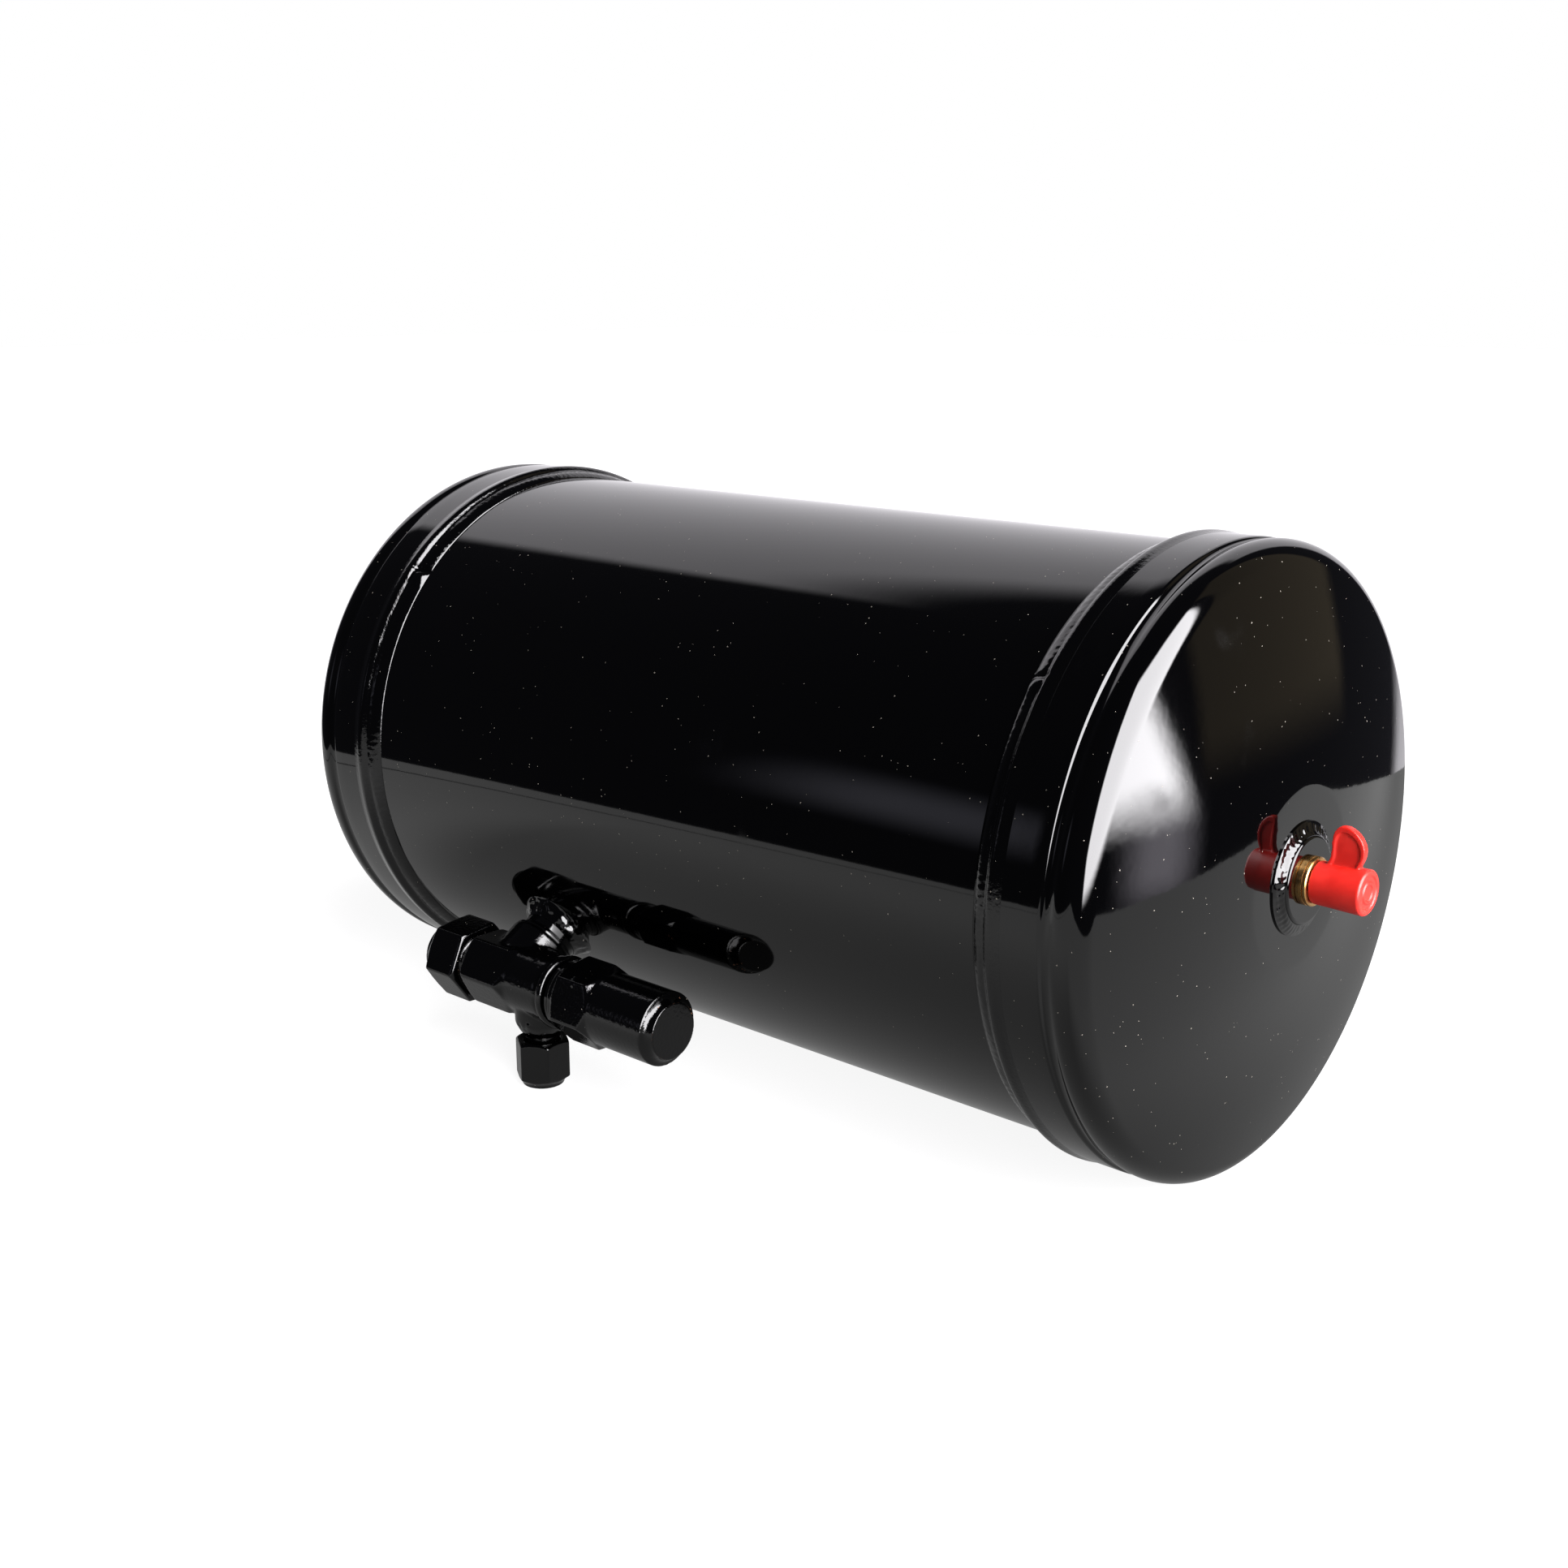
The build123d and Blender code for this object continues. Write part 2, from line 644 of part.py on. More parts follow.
def make_stem():
    front = seat_face + disc_gap
    tip = front + disc_socket + face_gap
    spindle = turned(
        (tip, 0),
        (tip, stem_tip_d / 2 - stem_tip_chamfer),
        (tip + stem_tip_chamfer, stem_tip_d / 2),
        (front + disc_thick + stem_tip_out, stem_tip_d / 2),
        (front + disc_thick + stem_tip_out, stem_d / 2),
        (stem_end - stem_square_len, stem_d / 2),
        (stem_end - stem_square_len, 0),
    )
    key = Pos(stem_end - stem_square_len / 2, 0, 0) * Box(stem_square_len, stem_square, stem_square)
    key = key & rod(stem_end - stem_square_len - 1, stem_end + 1, stem_d - 2 * pin_play)
    return valve_place * (spindle + key)


# ---- nuts, caps and their seals ------------------------------------------------------------------------
def cap_nut(af, length, thread_od, wall, turn, end_round):
    """A blind flare nut on the X axis: open face at 0, rounded closed end at its length."""
    corner = af / sqrt(3)
    outer = corner + corner_room
    end_flat = outer - end_round
    hex_bar = hexagon(0, length, af, turn)
    edges = [
        Line((0, 0), (0, corner - nut_chamfer[1])),
        Line((0, corner - nut_chamfer[1]), (nut_chamfer[0], outer)),
        Line((nut_chamfer[0], outer), (length - end_round, outer)),
        RadiusArc((length - end_round, outer), (length, end_flat), -end_round, short_sagitta=True),
        Line((length, end_flat), (length, 0)),
        Line((length, 0), (0, 0)),
    ]
    nut = hex_bar & revolve(make_face(edges), Axis.X, 360)
    bore = thread_od / 2 + thread_gap
    return nut - turned(
        (-1, 0),
        (-1, bore + nut_mouth),
        (nut_mouth_len, bore),
        (length - wall, bore),
        (length - wall, 0),
    )


def make_outlet_nut():
    return outlet_frame * cap_nut(
        outlet_nut_af, outlet_nut_len, outlet_thread_od, outlet_nut_wall, outlet_nut_turn,
        outlet_nut_round)


def make_outlet_seal():
    """Blanking disc between the flare nose and the nut's closed end."""
    inner_face = outlet_nut_len - outlet_nut_wall - face_gap
    return outlet_frame * rod(inner_face - seal_thick, inner_face, outlet_thread_od - outlet_seal_trim)


def make_gauge_nut():
    return gauge_frame * cap_nut(
        gauge_nut_af, gauge_nut_len, fitting_thread_od, gauge_nut_wall, 0, gauge_nut_round)


def make_gauge_seal():
    inner_face = gauge_nut_len - gauge_nut_wall - face_gap
    return gauge_frame * rod(inner_face - seal_thick, inner_face, fitting_thread_od - gauge_seal_trim)


def make_cap_gasket():
    return valve_place * tube(
        stem_cap_open - face_gap - gasket_thick, stem_cap_open - face_gap, cap_thread_od + 2 * gasket_width,
        cap_thread_od + 2 * run_gap)


def make_stem_cap():
    corner = stem_cap_af / sqrt(3)
    tip = stem_cap_end - stem_cap_round
    mouth_r = stem_cap_od / 2 - stem_cap_edge
    edges = [
        Line((stem_cap_open, 0), (stem_cap_open, mouth_r)),
        Line((stem_cap_open, mouth_r), (stem_cap_open + stem_cap_edge, stem_cap_od / 2)),
        Line((stem_cap_open + stem_cap_edge, stem_cap_od / 2), (tip, stem_cap_od / 2)),
        RadiusArc((tip, stem_cap_od / 2), (stem_cap_end, stem_cap_od / 2 - stem_cap_round), -stem_cap_round,
                  short_sagitta=True),
        Line((stem_cap_end, stem_cap_od / 2 - stem_cap_round), (stem_cap_end, 0)),
        Line((stem_cap_end, 0), (stem_cap_open, 0)),
    ]
    barrel = revolve(make_face(edges), Axis.X, 360)
    hex_form = turned(
        (stem_cap_hex_start, 0),
        (stem_cap_hex_start, corner - stem_cap_hex_chamfer[1]),
        (stem_cap_hex_start + stem_cap_hex_chamfer[0], corner + corner_room),
        (stem_cap_hex_end - stem_cap_hex_shoulder[0], corner + corner_room),
        (stem_cap_hex_end, corner - stem_cap_hex_shoulder[1]),
        (stem_cap_hex_end, 0),
    )
    collar = hexagon(stem_cap_hex_start, stem_cap_hex_end, stem_cap_af, stem_cap_turn) & hex_form
    thread_r = cap_thread_od / 2 + thread_gap
    hollow = turned(
        (stem_cap_open - 1, 0),
        (stem_cap_open - 1, thread_r),
        (cap_thread_end + cap_thread_pitch, thread_r),
        (cap_thread_end + 2 * cap_thread_pitch, stem_cap_inner_od / 2),
        (stem_cap_end - stem_cap_wall, stem_cap_inner_od / 2),
        (stem_cap_end - stem_cap_wall, 0),
    )
    return valve_place * (barrel + collar - hollow)


# ---- write every piece ----------------------------------------------------------------------------------
def make_parts():
    near_weld = make_girth_weld()
    return {
        "shell": make_shell(),
        "head_near": make_head_near(),
        "head_far": make_head_far(),
        "girth_weld_near": near_weld,
        "girth_weld_far": mirror(near_weld, Plane.YZ),
        "end_boss": make_end_boss(),
        "boss_weld": make_boss_weld(),
        "charge_body": make_charge_body(),
        "charge_core": make_charge_core(),
        "charge_pin": make_charge_pin(),
        "charge_seal": make_charge_seal(),
        "charge_spring": make_charge_spring(),
        "dust_cap": make_dust_cap(),
        "neck": make_neck(),
        "neck_weld": make_neck_weld(),
        "neck_braze": make_neck_braze(),
        "dip_tube": make_dip_tube(),
        "valve_body": make_valve_body(),
        "seat_ring": make_seat_ring(),
        "back_seat": make_back_seat(),
        "packing_washer": make_packing_washer(),
        "packing": make_packing(),
        "gland_nut": make_gland_nut(),
        "seat_disc": make_seat_disc(),
        "stem": make_stem(),
        "outlet_nut": make_outlet_nut(),
        "outlet_seal": make_outlet_seal(),
        "gauge_nut": make_gauge_nut(),
        "gauge_seal": make_gauge_seal(),
        "cap_gasket": make_cap_gasket(),
        "stem_cap": make_stem_cap(),
    }


def main():
    os.makedirs("parts", exist_ok=True)
    for name, shape in make_parts().items():
        export_step(shape, f"parts/{name}.step")


main()
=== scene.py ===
"""Looks for a small black-enamelled pressure reservoir with a service valve and a charging fitting.

All sizes are in metres, in the part's own frame: the shell lies on the X axis, the charging head
is at +X, +Z is up and the valve hangs low on the -Y side.
"""
from math import asin, cos, pi, radians, sin, sqrt

import bmesh
import bpy
import numpy as np
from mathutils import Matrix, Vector, noise


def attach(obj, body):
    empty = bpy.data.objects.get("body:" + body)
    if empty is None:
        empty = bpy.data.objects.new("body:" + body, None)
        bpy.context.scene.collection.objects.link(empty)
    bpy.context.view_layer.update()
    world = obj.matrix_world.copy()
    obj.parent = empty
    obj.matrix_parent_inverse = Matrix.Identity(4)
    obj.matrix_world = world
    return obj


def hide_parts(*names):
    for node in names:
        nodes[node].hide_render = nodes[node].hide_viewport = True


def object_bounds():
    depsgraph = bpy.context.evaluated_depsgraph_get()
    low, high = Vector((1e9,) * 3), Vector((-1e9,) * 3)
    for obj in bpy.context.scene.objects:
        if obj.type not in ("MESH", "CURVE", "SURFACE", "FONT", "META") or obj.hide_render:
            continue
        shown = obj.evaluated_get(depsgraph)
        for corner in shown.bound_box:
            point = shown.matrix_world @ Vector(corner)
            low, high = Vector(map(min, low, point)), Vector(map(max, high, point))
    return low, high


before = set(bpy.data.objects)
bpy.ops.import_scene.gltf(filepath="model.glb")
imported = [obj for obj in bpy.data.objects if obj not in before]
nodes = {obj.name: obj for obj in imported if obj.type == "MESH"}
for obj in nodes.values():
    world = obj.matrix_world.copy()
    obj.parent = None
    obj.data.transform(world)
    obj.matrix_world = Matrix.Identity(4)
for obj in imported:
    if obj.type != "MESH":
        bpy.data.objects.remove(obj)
cad_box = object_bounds()
scene = bpy.context.scene
MM = 0.001

# ---- sizes of the tank and its welds, in metres --------------------------------------------
SHELL_R = 89.0 * MM
SHELL_WALL = 3.0 * MM
SHELL_HALF = 147.5 * MM
SKIRT_R = 92.15 * MM
SKIRT_EDGE = 133.0 * MM
HEAD_WALL = 3.0 * MM
HEAD_DEPTH = 40.5 * MM
KNUCKLE_R = 7.5 * MM
BEAD_START = 15.5 * MM
BEAD_WIDTH = 6.0 * MM
BEAD_DEPTH = 0.9 * MM
BEAD_STEP = 1.9 * MM
BOSS_HOLE_R = 12.75 * MM
DRAWN_R = 26.0 * MM      # within this, the heat of the boss's weld drew the crown a little flatter
DRAWN_SLOPE = 0.050
DRAWN_EASE = 1e-7        # rounds the ring where the flatter part begins
KNUCKLE_STEPS = 14
CROWN_STEPS = 120
REST_R = -cad_box[0][2] - 0.001 * MM
NECK_X = -52.5 * MM
NECK_R = 9.575 * MM
NECK_ROOM = 0.05 * MM    # between the neck and what is built round it
PORT_X = -40.7 * MM
VALVE_ANGLE = radians(32.1)
VALVE_AXIS = Vector((0, -93.861 * MM, -58.879 * MM))
PORT_AXIS = Vector((PORT_X, VALVE_AXIS.y, 0))
OUTWARD = Vector((0, -cos(VALVE_ANGLE), -sin(VALVE_ANGLE)))
ROUND_STEPS = 512
ON_AXIS = 1e-7
FLAT_CREASE = 35      # degrees, for turned and rolled steel
SOFT_CREASE = 60      # degrees, for weld beads


# ---- camera ------------------------------------------------------------------------------------
def set_camera():
    azimuth, elevation, distance = radians(-47.74), radians(14.87), 0.6628
    target = Vector((-0.0203, 0.0, -0.0075))
    away = Vector((cos(elevation) * cos(azimuth), cos(elevation) * sin(azimuth), sin(elevation)))
    data = bpy.data.cameras.new("camera")
    data.lens, data.sensor_width = 44.48, 36.0
    camera = bpy.data.objects.new("camera", data)
    camera.location = target + away * distance
    camera.rotation_euler = (-away).to_track_quat("-Z", "Y").to_euler()
    scene.collection.objects.link(camera)
    scene.camera = camera


# ---- node trees ----------------------------------------------------------------------------------
# which sockets of the mix node carry colours
MIX_MASK, MIX_UNDER, MIX_OVER, MIX_RESULT = 0, 6, 7, 2


def feed(tree, socket, value):
    """Links another node's output to a socket, or sets the socket to a plain value."""
    if isinstance(value, bpy.types.NodeSocket):
        tree.links.new(value, socket)
    else:
        socket.default_value = value


def put(tree, kind, inputs=None, **settings):
    """Adds a node, sets its properties, and fills its inputs with values or other nodes' outputs."""
    node = tree.nodes.new(kind)
    for key, value in settings.items():
        setattr(node, key, value)
    for key, value in (inputs or {}).items():
        feed(tree, node.inputs[key], value)
    return node


def math(tree, operation, *values):
    """One step of arithmetic on one or two values."""
    return put(tree, "ShaderNodeMath", dict(enumerate(values)), operation=operation).outputs[0]


def ramp(tree, value, low, high, out_low=0.0, out_high=1.0):
    """Smoothly turns value from low to high into out_low to out_high."""
    ends = {"Value": value, "From Min": low, "From Max": high, "To Min": out_low, "To Max": out_high}
    return put(tree, "ShaderNodeMapRange", ends, interpolation_type="SMOOTHSTEP").outputs["Result"]


def mix_colour(tree, mask, under, over):
    """The colour under, turned into the colour over where the mask is 1."""
    colours = {MIX_MASK: mask, MIX_UNDER: under, MIX_OVER: over}
    return put(tree, "ShaderNodeMix", colours, data_type="RGBA").outputs[MIX_RESULT]


def new_group(name, inputs, outputs):
    """A shader node group with named inputs (name, value) and outputs (name, socket kind)."""
    tree = bpy.data.node_groups.new(name, "ShaderNodeTree")
    for label, value in inputs:
        given = tree.interface.new_socket(name=label, in_out="INPUT", socket_type="NodeSocketFloat")
        given.default_value = value
    for label, kind in outputs:
        tree.interface.new_socket(name=label, in_out="OUTPUT", socket_type=kind)
    return tree, tree.nodes.new("NodeGroupInput").outputs, tree.nodes.new("NodeGroupOutput").inputs


def place(tree, group, **values):
    """Places a group in a tree with its own values; underscores stand for spaces."""
    inputs = {key.replace("_", " "): value for key, value in values.items()}
    return put(tree, "ShaderNodeGroup", inputs, node_tree=group).outputs


def own_place(tree):
    """Places on the piece, in metres of the part's frame."""
    return put(tree, "ShaderNodeTexCoord").outputs["Object"]


def field(tree, size, stretch=(1, 1, 1), detail=3.0, seed=0.0):
    """Noise of a given size in metres, in the piece's own coordinates."""
    moved = put(tree, "ShaderNodeMapping", {
        "Vector": own_place(tree), "Location": (seed, seed, seed), "Scale": stretch})
    scale = math(tree, "DIVIDE", 1.0, size)
    node = put(tree, "ShaderNodeTexNoise", {"Vector": moved.outputs[0], "Scale": scale, "Detail": detail})
    return node.outputs["Fac"]


def make_orange_peel():
    """Height of sprayed enamel: a fine peel on long soft waves."""
    tree, given, out = new_group("orange_peel", [
        ("Peel Size", 0.003), ("Peel Height", 5e-6), ("Wave Size", 0.03), ("Wave Height", 2e-5)],
        [("Height", "NodeSocketFloat")])
    peel = math(tree, "MULTIPLY", field(tree, given["Peel Size"], detail=1.0), given["Peel Height"])
    wave = math(tree, "MULTIPLY", field(tree, given["Wave Size"], detail=0.0, seed=3.1), given["Wave Height"])
    tree.links.new(math(tree, "ADD", peel, wave), out["Height"])
    return tree


def make_dust_specks():
    """Mask of dust grains lying on a surface, thicker in some places than in others."""
    tree, given, out = new_group("dust_specks", [
        ("Cell Size", 0.004), ("Grain", 0.06), ("Amount", 0.3), ("Patch Size", 0.05)],
        [("Mask", "NodeSocketFloat")])
    scale = math(tree, "DIVIDE", 1.0, given["Cell Size"])
    cells = put(tree, "ShaderNodeTexVoronoi", {"Vector": own_place(tree), "Scale": scale, "Randomness": 1.0})
    chance = put(tree, "ShaderNodeSeparateColor", {"Color": cells.outputs["Color"]}).outputs
    patch = ramp(tree, field(tree, given["Patch Size"], detail=2.0, seed=7.7), 0.42, 0.68)
    share = math(tree, "MULTIPLY", given["Amount"], math(tree, "ADD", 0.35, patch))
    kept = math(tree, "LESS_THAN", chance["Red"], share)
    radius = math(tree, "MULTIPLY", given["Grain"], math(tree, "ADD", 0.4, chance["Green"]))
    near = math(tree, "LESS_THAN", cells.outputs["Distance"], radius)
    tree.links.new(math(tree, "MULTIPLY", kept, near), out["Mask"])
    return tree


def make_wiped_haze():
    """Mask of rubbed, slightly dulled patches, drawn out round the tank."""
    tree, given, out = new_group("wiped_haze", [("Size", 0.02), ("Start", 0.5), ("End", 0.8)],
                                 [("Mask", "NodeSocketFloat")])
    broad = field(tree, given["Size"], detail=4.0, seed=1.3)
    fine_size = math(tree, "MULTIPLY", given["Size"], 0.12)
    fine = field(tree, fine_size, stretch=(1, 0.25, 0.25), detail=2.0, seed=5.0)
    both = math(tree, "ADD", math(tree, "MULTIPLY", broad, 0.8), math(tree, "MULTIPLY", fine, 0.2))
    tree.links.new(ramp(tree, both, given["Start"], given["End"]), out["Mask"])
    return tree


def make_weld_crust():
    """Mask and height of flux and dirt baked into a painted weld."""
    tree, given, out = new_group("weld_crust", [("Size", 0.0012), ("Amount", 0.5), ("Rise", 6e-5)],
                                 [("Mask", "NodeSocketFloat"), ("Height", "NodeSocketFloat")])
    grit = field(tree, given["Size"], detail=5.0, seed=2.2)
    patch = field(tree, math(tree, "MULTIPLY", given["Size"], 9.0), detail=2.0, seed=9.0)
    both = math(tree, "ADD", math(tree, "MULTIPLY", grit, 0.6), math(tree, "MULTIPLY", patch, 0.4))
    edge = math(tree, "SUBTRACT", 0.78, math(tree, "MULTIPLY", given["Amount"], 0.3))
    tree.links.new(ramp(tree, both, edge, math(tree, "ADD", edge, 0.06)), out["Mask"])
    tree.links.new(math(tree, "MULTIPLY", grit, given["Rise"]), out["Height"])
    return tree


def make_thin_edges():
    """Mask of crests where the paint is thin and metal shows in places."""
    tree, given, out = new_group("thin_edges", [("Start", 0.58), ("End", 0.66), ("Break Size", 0.004)],
                                 [("Mask", "NodeSocketFloat")])
    crest = put(tree, "ShaderNodeNewGeometry").outputs["Pointiness"]
    broken = ramp(tree, field(tree, given["Break Size"], detail=3.0, seed=4.0), 0.5, 0.62)
    worn = ramp(tree, crest, given["Start"], given["End"])
    tree.links.new(math(tree, "MULTIPLY", worn, broken), out["Mask"])
    return tree


def make_tool_marks():
    """Height and mask of fine rings left by turning, and of stains on bare metal."""
    tree, given, out = new_group("tool_marks", [
        ("Ring Size", 0.0003), ("Depth", 4e-6), ("Stain Size", 0.003)],
        [("Height", "NodeSocketFloat"), ("Stain", "NodeSocketFloat")])
    rings = field(tree, given["Ring Size"], stretch=(1, 0.05, 0.05), detail=2.0)
    tree.links.new(math(tree, "MULTIPLY", rings, given["Depth"]), out["Height"])
    tree.links.new(ramp(tree, field(tree, given["Stain Size"], detail=4.0, seed=6.0), 0.4, 0.7), out["Stain"])
    return tree


peel_group = make_orange_peel()
dust_group = make_dust_specks()
haze_group = make_wiped_haze()
crust_group = make_weld_crust()
thin_group = make_thin_edges()
marks_group = make_tool_marks()

BLACK = (0.0002, 0.0002, 0.00025, 1)
DUST = (0.22, 0.20, 0.17, 1)
CRUST = (0.022, 0.017, 0.010, 1)
BRONZE = (0.36, 0.17, 0.10, 1)
RED_DEEP = (0.47, 0.009, 0.005, 1)
RED_PALE = (0.57, 0.015, 0.009, 1)
PEEL_SIZE = 3.2 * MM
PAINT_IOR = 1.5


# ---- materials -------------------------------------------------------------------------------------
def new_material(name):
    """A material with a Principled shader whose sockets are still to be filled."""
    material = bpy.data.materials.new(name)
    material.use_nodes = True
    tree = material.node_tree
    shader = next(n for n in tree.nodes if n.type == "BSDF_PRINCIPLED")
    return material, tree, shader


def set_inputs(tree, shader, values):
    for key, value in values.items():
        feed(tree, shader.inputs[key], value)


def raised(tree, height):
    """A normal from a height in metres."""
    return put(tree, "ShaderNodeBump", {"Height": height, "Strength": 1.0, "Distance": 1.0}).outputs[0]


def black_enamel(name, peel, wave, dust, crust=0.0, thin=False, gloss=0.045, rub=0.08):
    """Glossy black enamel over steel, with dust, rubbed patches and, on welds, baked dirt.

    peel and wave are heights in metres, gloss is the roughness and rub what rubbing adds to it.
    """
    material, tree, shader = new_material(name)
    height = place(tree, peel_group, Peel_Size=PEEL_SIZE, Peel_Height=peel, Wave_Size=0.022,
                   Wave_Height=wave)["Height"]
    specks = place(tree, dust_group, Cell_Size=0.0042, Grain=0.03, Amount=dust, Patch_Size=0.035)["Mask"]
    fine = place(tree, dust_group, Cell_Size=0.0017, Grain=0.09, Amount=dust * 0.5, Patch_Size=0.02)["Mask"]
    haze = place(tree, haze_group, Size=0.03, Start=0.52, End=0.8)["Mask"]
    specks = math(tree, "MAXIMUM", specks, math(tree, "MULTIPLY", fine, 0.5))
    colour = mix_colour(tree, specks, BLACK, DUST)
    rubbed = ramp(tree, haze, 0.0, 1.0, gloss, gloss + rub)
    rough = math(tree, "ADD", rubbed, math(tree, "MULTIPLY", specks, 0.5))
    metal = 0.0
    if crust:
        baked = place(tree, crust_group, Size=0.0011, Amount=crust, Rise=7e-5)
        colour = mix_colour(tree, baked["Mask"], colour, CRUST)
        rough = math(tree, "ADD", rough, math(tree, "MULTIPLY", baked["Mask"], 0.45))
        height = math(tree, "ADD", height, baked["Height"])
    if thin:
        bare = place(tree, thin_group, Start=0.54, End=0.60, Break_Size=0.004)["Mask"]
        colour = mix_colour(tree, bare, colour, BRONZE)
        metal = math(tree, "MULTIPLY", bare, 0.8)
    set_inputs(tree, shader, {
        "Base Color": colour, "Roughness": rough, "Metallic": metal, "IOR": PAINT_IOR,
        "Normal": raised(tree, height)})
    return material


def red_plastic():
    """Soft moulded polyethylene, a little see-through at its edges."""
    material, tree, shader = new_material("red_polyethylene")
    cloud = field(tree, 0.006, detail=3.0)
    colour = mix_colour(tree, ramp(tree, cloud, 0.3, 0.7), RED_DEEP, RED_PALE)
    specks = place(tree, dust_group, Cell_Size=0.0026, Grain=0.07, Amount=0.25, Patch_Size=0.01)["Mask"]
    colour = mix_colour(tree, math(tree, "MULTIPLY", specks, 0.5), colour, DUST)
    height = place(tree, peel_group, Peel_Size=0.0007, Peel_Height=9e-6, Wave_Size=0.005,
                   Wave_Height=2e-5)["Height"]
    set_inputs(tree, shader, {
        "Base Color": colour, "Roughness": ramp(tree, cloud, 0.3, 0.7, 0.34, 0.46), "IOR": PAINT_IOR,
        "Subsurface Weight": 0.25, "Subsurface Scale": 0.002, "Subsurface Radius": (1.0, 0.2, 0.1),
        "Normal": raised(tree, height)})
    return material


def bare_metal(name, clean, stained, rough, stain_size=0.003, ring_size=0.0003):
    """Turned or drawn metal with tool marks and stains; rough is the roughness where it is clean."""
    material, tree, shader = new_material(name)
    marks = place(tree, marks_group, Ring_Size=ring_size, Depth=5e-6, Stain_Size=stain_size)
    colour = mix_colour(tree, marks["Stain"], clean, stained)
    set_inputs(tree, shader, {
        "Base Color": colour, "Metallic": 1.0, "Normal": raised(tree, marks["Height"]),
        "Roughness": ramp(tree, marks["Stain"], 0, 1, rough, rough + 0.22)})
    return material


def soft_seal():
    """Dull dark packing and seal material."""
    material, tree, shader = new_material("soft_seal")
    fibre = field(tree, 0.0008, stretch=(1, 0.3, 0.3), detail=4.0)
    colour = mix_colour(tree, fibre, (0.02, 0.02, 0.022, 1), (0.09, 0.085, 0.08, 1))
    height = math(tree, "MULTIPLY", fibre, 3e-5)
    set_inputs(tree, shader, {
        "Base Color": colour, "Roughness": ramp(tree, fibre, 0.2, 0.8, 0.55, 0.8),
        "Normal": raised(tree, height)})
    return material


def painted_over(name, under, rim):
    """Metal inside, black enamel where the outer rim was sprayed; rim is a radius from the valve's axis."""
    material, tree, shader = new_material(name)
    at = put(tree, "ShaderNodeSeparateXYZ", {0: own_place(tree)}).outputs
    off = [math(tree, "SUBTRACT", at[way], VALVE_AXIS[i]) for way, i in (("Y", 1), ("Z", 2))]
    squares = [math(tree, "POWER", side, 2.0) for side in off]
    radius = math(tree, "SQRT", math(tree, "ADD", *squares))
    coat = ramp(tree, radius, rim - 0.1 * MM, rim + 0.1 * MM)
    height = place(tree, peel_group, Peel_Size=PEEL_SIZE, Peel_Height=8e-6, Wave_Size=0.01,
                   Wave_Height=3e-5)["Height"]
    set_inputs(tree, shader, {
        "Base Color": mix_colour(tree, coat, under, BLACK), "Metallic": math(tree, "SUBTRACT", 1.0, coat),
        "Roughness": ramp(tree, coat, 0.0, 1.0, 0.35, 0.06), "IOR": PAINT_IOR,
        "Normal": raised(tree, height)})
    return material


finishes = {
    "painted_gasket": painted_over("painted_gasket", (0.05, 0.045, 0.04, 1), 9.6 * MM),
    "tank": black_enamel("black_enamel_tank", peel=2.2e-6, wave=1.6e-5, dust=0.5),
    "head": black_enamel("black_enamel_heads", peel=7e-6, wave=3.5e-5, dust=0.55, rub=0.2),
    "weld": black_enamel("black_enamel_welds", peel=6e-6, wave=5e-5, dust=0.2, crust=0.12, gloss=0.05),
    "blob": black_enamel("black_enamel_blobs", peel=3e-6, wave=3e-5, dust=0.2, gloss=0.04),
    "boss": black_enamel("black_enamel_boss", peel=3e-6, wave=1e-5, dust=0.15),
    "valve": black_enamel("black_enamel_valve", peel=9e-6, wave=5e-5, dust=0.45, crust=0.2, gloss=0.06),
    "nuts": black_enamel("black_enamel_nuts", peel=7e-6, wave=4e-5, dust=0.5, crust=0.1, thin=True, gloss=0.05),
    "red_plastic": red_plastic(),
    "brass": bare_metal("brass", (0.62, 0.36, 0.13, 1), (0.30, 0.14, 0.05, 1), 0.26),
    "copper": bare_metal("copper", (0.78, 0.36, 0.22, 1), (0.35, 0.14, 0.08, 1), 0.3, stain_size=0.008),
    "bare_steel": bare_metal("bare_steel", (0.50, 0.49, 0.47, 1), (0.24, 0.22, 0.20, 1), 0.3),
    "spring_steel": bare_metal("spring_steel", (0.55, 0.54, 0.52, 1), (0.35, 0.33, 0.31, 1), 0.2,
                               ring_size=0.0001),
    "soft_seal": soft_seal(),
}


# ---- meshes -----------------------------------------------------------------------------------------
def plain_mesh(name, points, faces):
    mesh = bpy.data.meshes.new(name)
    mesh.from_pydata([tuple(point) for point in points], [], faces)
    return mesh


def enamelled(name, points, faces, finish, node, crease=FLAT_CREASE):
    """A black piece fixed to the tank, which stands for one CAD node."""
    return dress(plain_mesh(name, points, faces), name, finish, "root", [node], crease)


def shade(mesh, crease):
    """Shades a mesh smooth, but for edges sharper than crease degrees."""
    mesh.polygons.foreach_set("use_smooth", [True] * len(mesh.polygons))
    mesh.set_sharp_from_angle(angle=radians(crease))


def even_normals(mesh):
    """Turns every face of a closed mesh outwards."""
    work = bmesh.new()
    work.from_mesh(mesh)
    bmesh.ops.recalc_face_normals(work, faces=work.faces)
    work.to_mesh(mesh)
    work.free()


def ring_faces(steps, total, flip=False):
    """Faces between closed sections of total points that follow each other in a ring of steps."""
    faces = []
    for k in range(steps):
        n = (k + 1) % steps
        for i in range(total):
            j = (i + 1) % total
            face = (k * total + i, k * total + j, n * total + j, n * total + i)
            faces.append(face[::-1] if flip else face)
    return faces


